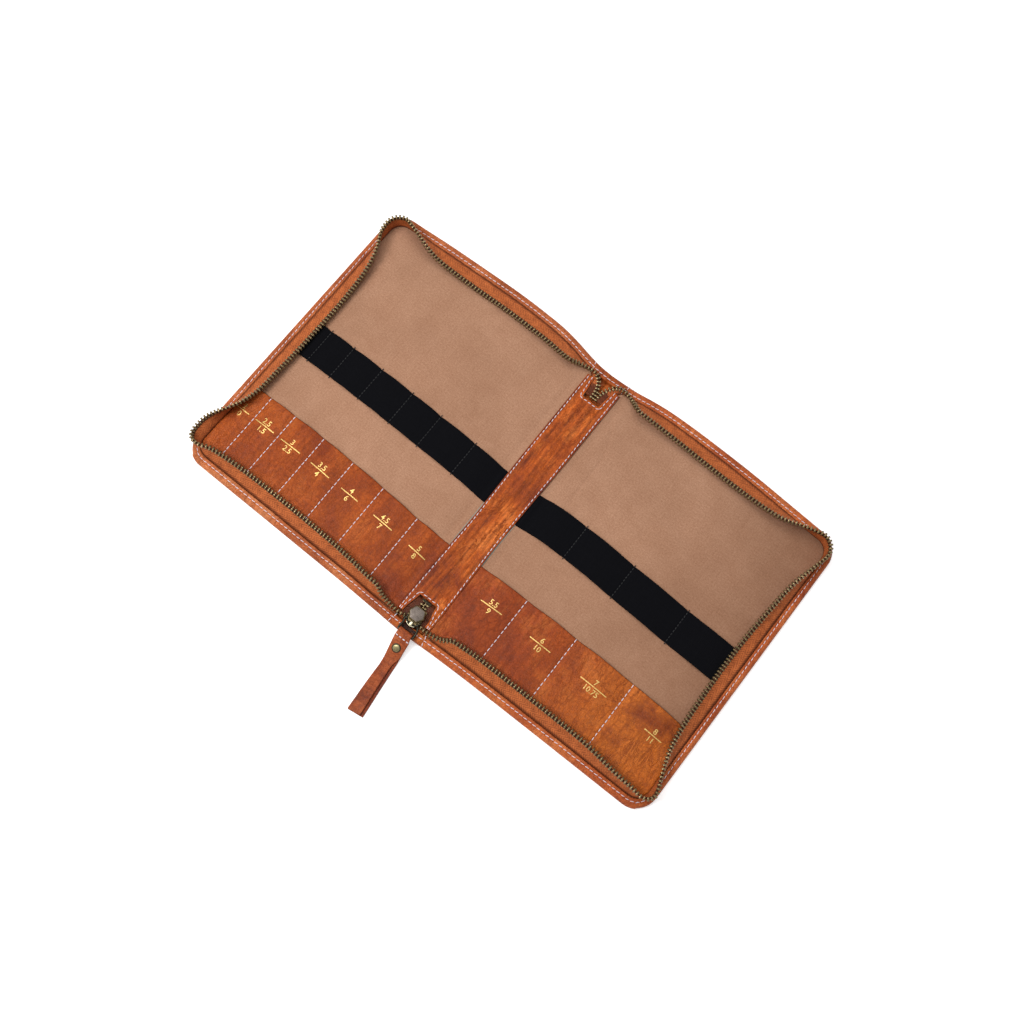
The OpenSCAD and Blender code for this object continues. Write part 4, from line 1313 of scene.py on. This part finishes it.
# %% [markdown]
# ## Slider
#
# The slider is a small casting: a lower and an upper plate held apart by a post, with side
# walls that press the teeth together, and a nose ring in front. A gunmetal cap hides the
# top: it is turned from a short profile, as on a lathe, and then drawn in to a rounded
# hexagon. The nose ring is a swept bar, so every edge is rounded and catches light.

# %% turned and swept parts
def lathe(name, profile, centre, mats, bands=None, tilt=0.0, sides=64):
    """Turn a profile of (radius, height) pairs round a line through centre, tilted about X."""
    pts, faces, finish, rows = [], [], [], []
    for r, z in profile:
        count = 1 if r < 1e-6 else sides
        rows.append([len(pts) + i for i in range(count)])
        turn = [2 * math.pi * i / sides for i in range(count)]
        pts += [(r * math.cos(a), r * math.sin(a), z) for a in turn]
    for k, (a, b) in enumerate(zip(rows[:-1], rows[1:])):
        for i in range(sides):
            j = (i + 1) % sides
            ring = (a[i % len(a)], a[j % len(a)], b[j % len(b)], b[i % len(b)])
            faces.append(tuple(dict.fromkeys(ring)))
            finish.append(bands[k] if bands else 0)
    turned = np.array(pts) @ np.array(Matrix.Rotation(tilt, 3, "X")).T + np.array(centre)
    return face_outwards(make_mesh(name, turned, faces, None, mats, finish))


def swept_bar(name, path, wide, high, finish):
    """A bar with a rounded section of twelve points along a path; the section stays upright."""
    P = np.array(path, float)
    T = np.gradient(P, axis=0)
    T /= np.linalg.norm(T, axis=1)[:, None]
    S = np.cross(T, [0, 0, 1.0])
    S /= np.linalg.norm(S, axis=1)[:, None]
    V = np.cross(S, T)
    angle = np.arange(12) * math.pi / 6
    c, d = (np.sign(w) * np.abs(w) ** 0.7 for w in (np.cos(angle), np.sin(angle)))
    pts = P[:, None] + S[:, None] * c[:, None] * wide / 2 + V[:, None] * d[:, None] * high / 2
    rings = np.arange(len(P) * 12).reshape(-1, 12)
    faces = []
    for a, b in zip(rings[:-1], rings[1:]):
        faces += zip(a, np.roll(a, -1), np.roll(b, -1), b)
    faces += [rings[0], rings[-1]]
    return face_outwards(make_mesh(name, pts.reshape(-1, 3), faces, None, (finish,)))


def plate(name, outline, z0, z1, finish, soft=0.2):
    """A flat plate from its outline, with rounded edges."""
    n = len(outline)
    pts = [(p[0], p[1], z) for z in (z0, z1) for p in outline]
    walls = [(i, (i + 1) % n, n + (i + 1) % n, n + i) for i in range(n)]
    faces = [tuple(range(n)), tuple(range(n, 2 * n)), *walls]
    ob = face_outwards(make_mesh(name, pts, faces, None, (finish,), smooth=False))
    return bake(round_edges(ob, soft, math.radians(30)))


def join(name, parts):
    """Join several meshes into one object, keeping their finishes."""
    bm, mats = bmesh.new(), []
    for ob in parts:
        before = len(bm.faces)
        bm.from_mesh(ob.data)
        bm.faces.ensure_lookup_table()
        for f in bm.faces[before:]:
            m = ob.data.materials[f.material_index]
            if m not in mats:
                mats.append(m)
            f.material_index = mats.index(m)
        bpy.data.objects.remove(ob)
    me = bpy.data.meshes.new(name)
    bm.to_mesh(me)
    bm.free()
    for m in mats:
        me.materials.append(m)
    return show(name, me)


# %% slider
SLIDER_X, SLIDER_Y, EAR_Y = 0.4, -96.3, -101.3
CAP_R = 5.2
EAR = [(0, -1.1), (0.75, -1.1), (0.85, -0.6), (0.85, 0.3), (0.6, 0.75), (0, 0.9)]


def arc(cx, cy, r, a0, a1, z, n=28):
    a = np.radians(np.linspace(a0, a1, n))
    return rows_of(cx + r * np.cos(a), cy + r * np.sin(a), np.full(n, z))


def build_slider():
    x, y = SLIDER_X, SLIDER_Y
    back = [(x + 4.9, y + 1.2), (x + 3.9, y + 4.9), (x - 3.9, y + 4.9), (x - 4.9, y + 1.2)]
    shield = [(p[0], max(p[1], -102.0)) for p in [*arc(x, y - 2.6, 5.0, -175, -5, 0, 18), *back]]
    post = [(x + 0.7, y - 8.0, 6.35), (x + 0.6, y - 6.9, 6.8),
            (x + 0.4, y - 5.6, 6.9), (x + 0.2, y - 4.2, 6.7)]
    parts = [
        plate("lower_plate", shield, 1.65, 2.5, M["slider"]),
        plate("upper_plate", shield, 5.15, 6.25, M["slider"]),
        # the mouth plate is painted shade inside the slider
        plate("mouth", arc(x, y - 2.6, 4.5, -178, -2, 0, 18), 5.62, 5.8, M["shade"], 0.05),
        swept_bar("nose_ring", arc(x + 0.2, y - 2.7, 4.7, -180, 0, 6.25), 1.1, 1.2, M["wire"]),
        swept_bar("nose_edge", arc(x + 0.2, y - 2.9, 5.0, -128, -52, 6.6), 0.5, 0.9, M["post"]),
        swept_bar("post", post, 2.1, 1.0, M["post"]),
    ]
    for s in (-1, 1):
        for z, high in ((3.4, 1.7), (4.7, 1.0)):
            wall = [(x + s * 4.6, y - 1.6, z), (x + s * 4.3, y + 1.5, z), (x + s * 3.6, y + 4.5, z)]
            parts.append(swept_bar("wall", wall, 0.9, high, M["slider"]))
        parts.append(lathe("ear", EAR, (x + s * 4.1, EAR_Y + 0.1, 7.1), (M["slider"],), sides=20))
    return join("zip_slider", parts)


def hexagon_reach(angle):
    """Share of the cap's radius in each direction: a hexagon with slightly rounded corners."""
    corners = np.radians([-122, -58, -2, 53, 127, 182, 238])
    reach = np.array([5.3, 5.3, 5.65, 5.95, 5.95, 5.65, 5.3]) / CAP_R
    k = np.clip(np.searchsorted(corners, angle, "right") - 1, 0, 5)
    a, b = corners[k], corners[k + 1]
    # the straight line between two corners, in polar form
    across = reach[k] * np.sin(angle - a) + reach[k + 1] * np.sin(b - angle)
    return min(reach[k] * reach[k + 1] * np.sin(b - a) / across, 1.09)


def build_cap():
    r = CAP_R
    profile = [(0, 0), (r - 0.4, 0), (r - 0.1, 0.08), (r, 0.35), (r, 2.1), (r - 0.06, 2.4), (r - 0.25, 2.66),
               (r - 0.55, 2.82), (r - 0.75, 2.87), (3.4, 3.05), (2.0, 3.16), (0.8, 3.2), (0, 3.21)]
    bands = [0] * 8 + [1] * 4
    ob = lathe("slider_cap_plate", profile, (SLIDER_X, SLIDER_Y, 6.45), (M["slider"], M["cap"]), bands)
    centre = Vector((SLIDER_X * MM, SLIDER_Y * MM, 0))
    for v in ob.data.vertices:
        d = v.co - centre
        angle = math.atan2(d.y, d.x)
        share = hexagon_reach(angle if angle > math.radians(-120) else angle + 2 * math.pi)
        v.co.x, v.co.y = centre.x + d.x * share, centre.y + d.y * share
    return ob


slider, cap = build_slider(), build_cap()
print("slider faces", len(slider.data.polygons), len(cap.data.polygons))

# %% [markdown]
# ## Bail and pull tab
#
# A blackened wire hoop hangs from the slider's ears, and the tab is one strip of leather
# folded round it. The two plies are sewn across and riveted, and below the rivet the top
# ply has crept sideways, so the lower one shows along its edge. The strip follows one path
# in side view: along the under ply, round the wire, and back along the top.

# %% painted shade under the pull
def build_landing():
    """A thin dark piece on the rim, between the legs of the bail: painted shade under the slider and its
    pull.
    """
    X, Y = np.meshgrid(np.linspace(-3.3, 6.5, 14), np.linspace(-107.3, -102.2, 9), indexing="ij")
    # here the outline lies 2.65 lower than the layout
    z = np.minimum(rim_height(np.abs(X), Y + 2.65) + 0.10, 5.35)
    ob = make_mesh("pull_landing", rows_of(X, Y, z), grid_faces(*X.shape), rows_of(X, Y), (M["painted_shade_patch"],))
    return thicken(ob, 0.5)


painted_shade_patch = build_landing()

# %% bail wire
# the bar of the hoop lies on the axis that the tab turns about
BAR_Y, BAR_Z = -109.45, 7.7


def tube(name, path, r, finish):
    cu = bpy.data.curves.new(name, "CURVE")
    cu.dimensions, cu.bevel_depth, cu.bevel_resolution, cu.use_fill_caps = "3D", r * MM, 4, True
    cu.resolution_u = 8
    sp = cu.splines.new("NURBS")
    sp.points.add(len(path) - 1)
    for q, c in zip(sp.points, path):
        q.co = (*(MM * v for v in c), 1.0)
    sp.order_u, sp.use_endpoint_u = 3, True
    line = show(name, cu)
    me = as_mesh(line)
    bpy.data.objects.remove(line)
    me.materials.clear()
    me.materials.append(finish)
    return face_outwards(show(name, me))


left_leg = [(-3.0, EAR_Y, 7.4), (-4.0, EAR_Y, 7.4), (-4.3, EAR_Y - 0.5, 7.4), (-4.0, EAR_Y - 1.6, 7.5),
            (-3.6, EAR_Y - 3.2, 7.6), (-3.7, -107.0, 7.7), (-3.7, -108.6, 7.7)]
right_leg = [(7.5, -108.6, 7.7), (7.5, -106.6, 7.9), (7.2, -104.6, 8.3), (6.4, -102.9, 8.4),
             (5.5, EAR_Y - 0.6, 7.7), (5.0, EAR_Y, 7.4), (4.0, EAR_Y, 7.4)]
bar = [(x, BAR_Y, BAR_Z) for x in (-3.65, -2.9, 2.0, 6.7, 7.45)]
bail = tube("bail_hoop", left_leg + bar + right_leg, 0.72, M["wire"])

# %% the folded tab
TAB_Y = [-165.3, -156.3, -148.0, -139.3, -133.0, -128.0, -120.0, -113.3, -110.9, -107.4]
TAB_MIDDLE = [8.05, 7.25, 6.45, 5.75, 5.3, 4.75, 3.5, 2.5, 2.0, 1.9]
TAB_HALF = [5.4, 5.2, 5.0, 4.75, 4.5, 4.6, 4.95, 5.3, 4.77, 4.75]
TAB_LOW_Z, TAB_DROP, LOOP_R = 1.22, 22.0, 1.33
SEAM_Y = -113.3


def tab_mid_z(y):
    return TAB_LOW_Z + (BAR_Z - TAB_LOW_Z) * (1 - ease((BAR_Y - y) / TAB_DROP))


def tab_gap(y):
    """Half the distance between the middles of the two plies."""
    return 0.57 + 0.76 * (1 - ease((BAR_Y - y) / 3.9))


def tab_edges(y, top_ply):
    mid, half = np.interp(y, TAB_Y, TAB_MIDDLE), np.interp(y, TAB_Y, TAB_HALF)
    creep = ease((-122.0 - y) / 9.0)
    return (mid - half, mid + half - 2.2 * creep) if top_ply else (mid - half + 0.25 * creep, mid + half)


def build_tab():
    down = np.arange(TAB_Y[0], BAR_Y, 1.1)
    path = [(y, tab_mid_z(y) - tab_gap(y), False) for y in down]
    for a in np.radians(np.linspace(-90, 90, 11)):
        path.append((BAR_Y + LOOP_R * math.cos(a), BAR_Z + LOOP_R * math.sin(a), a > 0))
    path += [(y, tab_mid_z(y) + tab_gap(y), True) for y in down[::-1]]
    across = np.linspace(-1, 1, 17)
    pts, uv, run = [], [], 0.0
    for i, (y, z, top) in enumerate(path):
        if i:
            run += math.dist(path[i][:2], path[i - 1][:2])
        lo, hi = tab_edges(min(y, BAR_Y), top)
        turn = 0.14 * ease((BAR_Y - y) / 30.0)
        free = ease((-124.0 - y) / 12.0)
        for v in across:
            x = lo + (hi - lo) * (v + 1) / 2
            lift = free * (0.55 * ease((v - 0.2) / 0.8) + 0.12 * v * v) if top else 0.0
            wave = 0.10 * noise.noise(Vector((x * 0.3, y * 0.16, 5.0 if top else 7.0))) * free
            pts.append((x, y + turn * (x - (lo + hi) / 2), z + lift + wave))
            uv.append((run, x - lo))
    ob = make_mesh("pull_tab_leather", pts, grid_faces(len(path), len(across)), uv, (M["tab"],))
    return thicken(ob, 1.08, 0.0, soft=0.22)


tab = build_tab()
cross = [(x, SEAM_Y, tab_mid_z(SEAM_Y) + LOOP_R) for x in (-1.4, 6.6)]
tab_sewing = stitches("tab_stitches", [cross], M["thread"], pitch=2.0, length=1.9, thread=0.75, slant=0.03)

# %% the tab's rivet
RIVET_Y, RIVET_X = -119.7, 3.2
# the slope of the tab under the rivet, from the ease curve that it follows
share = (BAR_Y - RIVET_Y) / TAB_DROP
tilt = math.atan((BAR_Z - TAB_LOW_Z) / TAB_DROP * 6 * share * (1 - share))
head = [(0, -0.35), (2.6, -0.3), (2.92, -0.1), (2.95, 0.12), (2.8, 0.34), (2.5, 0.36), (2.42, 0.22),
        (2.34, 0.24), (2.26, 0.48), (1.9, 0.68), (1.1, 0.82), (0.5, 0.86), (0, 0.87)]
place = (RIVET_X, RIVET_Y, tab_mid_z(RIVET_Y) + 1.2)
rivet = lathe("rivet_head", head, place, (M["wire"], M["rivet"]), [0] * 7 + [1] * 5, tilt, 48)
print("tab faces", len(tab.data.polygons), "rivet tilt", round(math.degrees(tilt), 1))

# %% finishes of the solids that stay
# the bottom stop takes the painted shade finish, so it stays dark under the slider
SOLIDS = {"left_board": "board", "right_board": "board", "spine_board": "board", "bottom_stop": "shade"}
for node, finish in SOLIDS.items():
    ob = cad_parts[node]
    ob.data.materials.clear()
    ob.data.materials.append(M[finish])

# %% [markdown]
# ## What moves with what
#
# A layer that crosses a fold has its placing baked into its points, and the rest ride on one body.

# %% riding on bodies
def cross_fold(ob, side):
    side + "_half"
    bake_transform(ob)


for side in SIDE:
    cross_fold(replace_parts(covers[side], side + "_cover", "spine_cover"), side)
    cross_fold(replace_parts(linings[side], side + "_lining"), side)
    cross_fold(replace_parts(pockets[side], side + "_pockets"), side)
    cross_fold(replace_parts(straps[side], side + "_elastic"), side)
    cross_fold(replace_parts(tapes[side], side + "_tape", "bottom_tape", "top_tape"), side)
    cross_fold(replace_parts(teeth[side], side + "_teeth", "bottom_teeth", "top_teeth"), side)
    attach(marks[side], side + "_half")
for ob, side in sewing:
    if "rim" in ob.name:
        cross_fold(ob, side)
    else:
        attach(ob, side + "_half")
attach(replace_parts(strip, "spine_strip"), "spine")
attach(strip_sewing, "spine")
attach(painted_shade_patch, "spine")
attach(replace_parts(slider, "slider_body"), "slider")
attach(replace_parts(cap, "slider_cap"), "slider")
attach(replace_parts(bail, "bail"), "bail")
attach(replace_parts(tab, "pull_tab"), "tab")
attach(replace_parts(rivet, "tab_rivet"), "tab")
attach(tab_sewing, "tab")
bpy.data.objects.remove(tooth)

# %% how much of each tape shows
TAPE_WIDE, ELASTIC_WIDE = 0.0122, 0.025

for side in SIDE:
    side + "_board"
    long = (HALF - STRAP_IN - BAND_START) * MM
    area, long = tapes[side]["flat_area"], tapes[side]["flat_length"]
    share = round(area / (TAPE_WIDE * long), 2)
    print(side, "tape", round(long, 3), "m long,", share, "of its full width on average")

# %% [markdown]
# ## Camera, light and table
#
# The photograph looks almost straight down, turned about thirty degrees. The table is white to
# the camera and still takes the object's shadow. Light comes from one broad lamp overhead,
# with a weaker one from the lower left to lift the near edges.

# %% camera
right = Vector((0.78673464, 0.61629581, 0.03504401))
up = Vector((-0.60479001, 0.75819122, 0.24367008))
back = Vector((0.12360279, -0.21289796, 0.96922485))
cam_data = bpy.data.cameras.new("camera")
cam_data.lens, cam_data.sensor_width = 45.08, 36.0
camera = show("camera", cam_data)
turned = Matrix([right, up, back]).transposed().to_4x4()
camera.matrix_world = Matrix.Translation((0.104858, -0.179609, 0.783762)) @ turned
bpy.context.scene.camera = camera

# %% table and lights
white = bpy.data.materials.new("white_table")
white.use_nodes = True
ray = put(white.node_tree, "ShaderNodeLightPath")
seen = maths("MAXIMUM", Wire(ray, "Is Camera Ray"), Wire(ray, "Is Glossy Ray"))
feed(white.node_tree.nodes["Principled BSDF"], {
    "Base Color": (0.92, 0.92, 0.92, 1), "Roughness": 0.9, "Specular IOR Level": 0.0,
    "Emission Color": (1, 1, 1, 1), "Emission Strength": seen * 0.45})
corners = [(-4000, -4000, 0), (4000, -4000, 0), (4000, 4000, 0), (-4000, 4000, 0)]
table = make_mesh("table_top", corners, [(0, 1, 2, 3)], mats=(white,), smooth=False)


def lamp(name, place, size, power):
    """A round lamp that looks at the middle of the case."""
    light = bpy.data.lights.new(name, "AREA")
    light.shape, light.size, light.energy = "DISK", size, power
    ob = show(name, light)
    ob.location = place
    ob.rotation_euler = (-Vector(place)).to_track_quat("-Z", "Y").to_euler()


lamp("key", (-0.42, -0.38, 0.9), 0.45, 7.0)
lamp("overhead", (-0.22, 0.42, 1.4), 1.1, 8.4)
world = bpy.data.worlds.new("soft_room")
world.use_nodes = True
ray = put(world.node_tree, "ShaderNodeLightPath")
seen = maths("MAXIMUM", Wire(ray, "Is Camera Ray"), Wire(ray, "Is Transmission Ray"))
feed(world.node_tree.nodes["Background"], {"Color": (1, 1, 1, 1), "Strength": seen * 0.58 + 0.42})
bpy.context.scene.world = world
bpy.context.scene.view_settings.view_transform = "Standard"
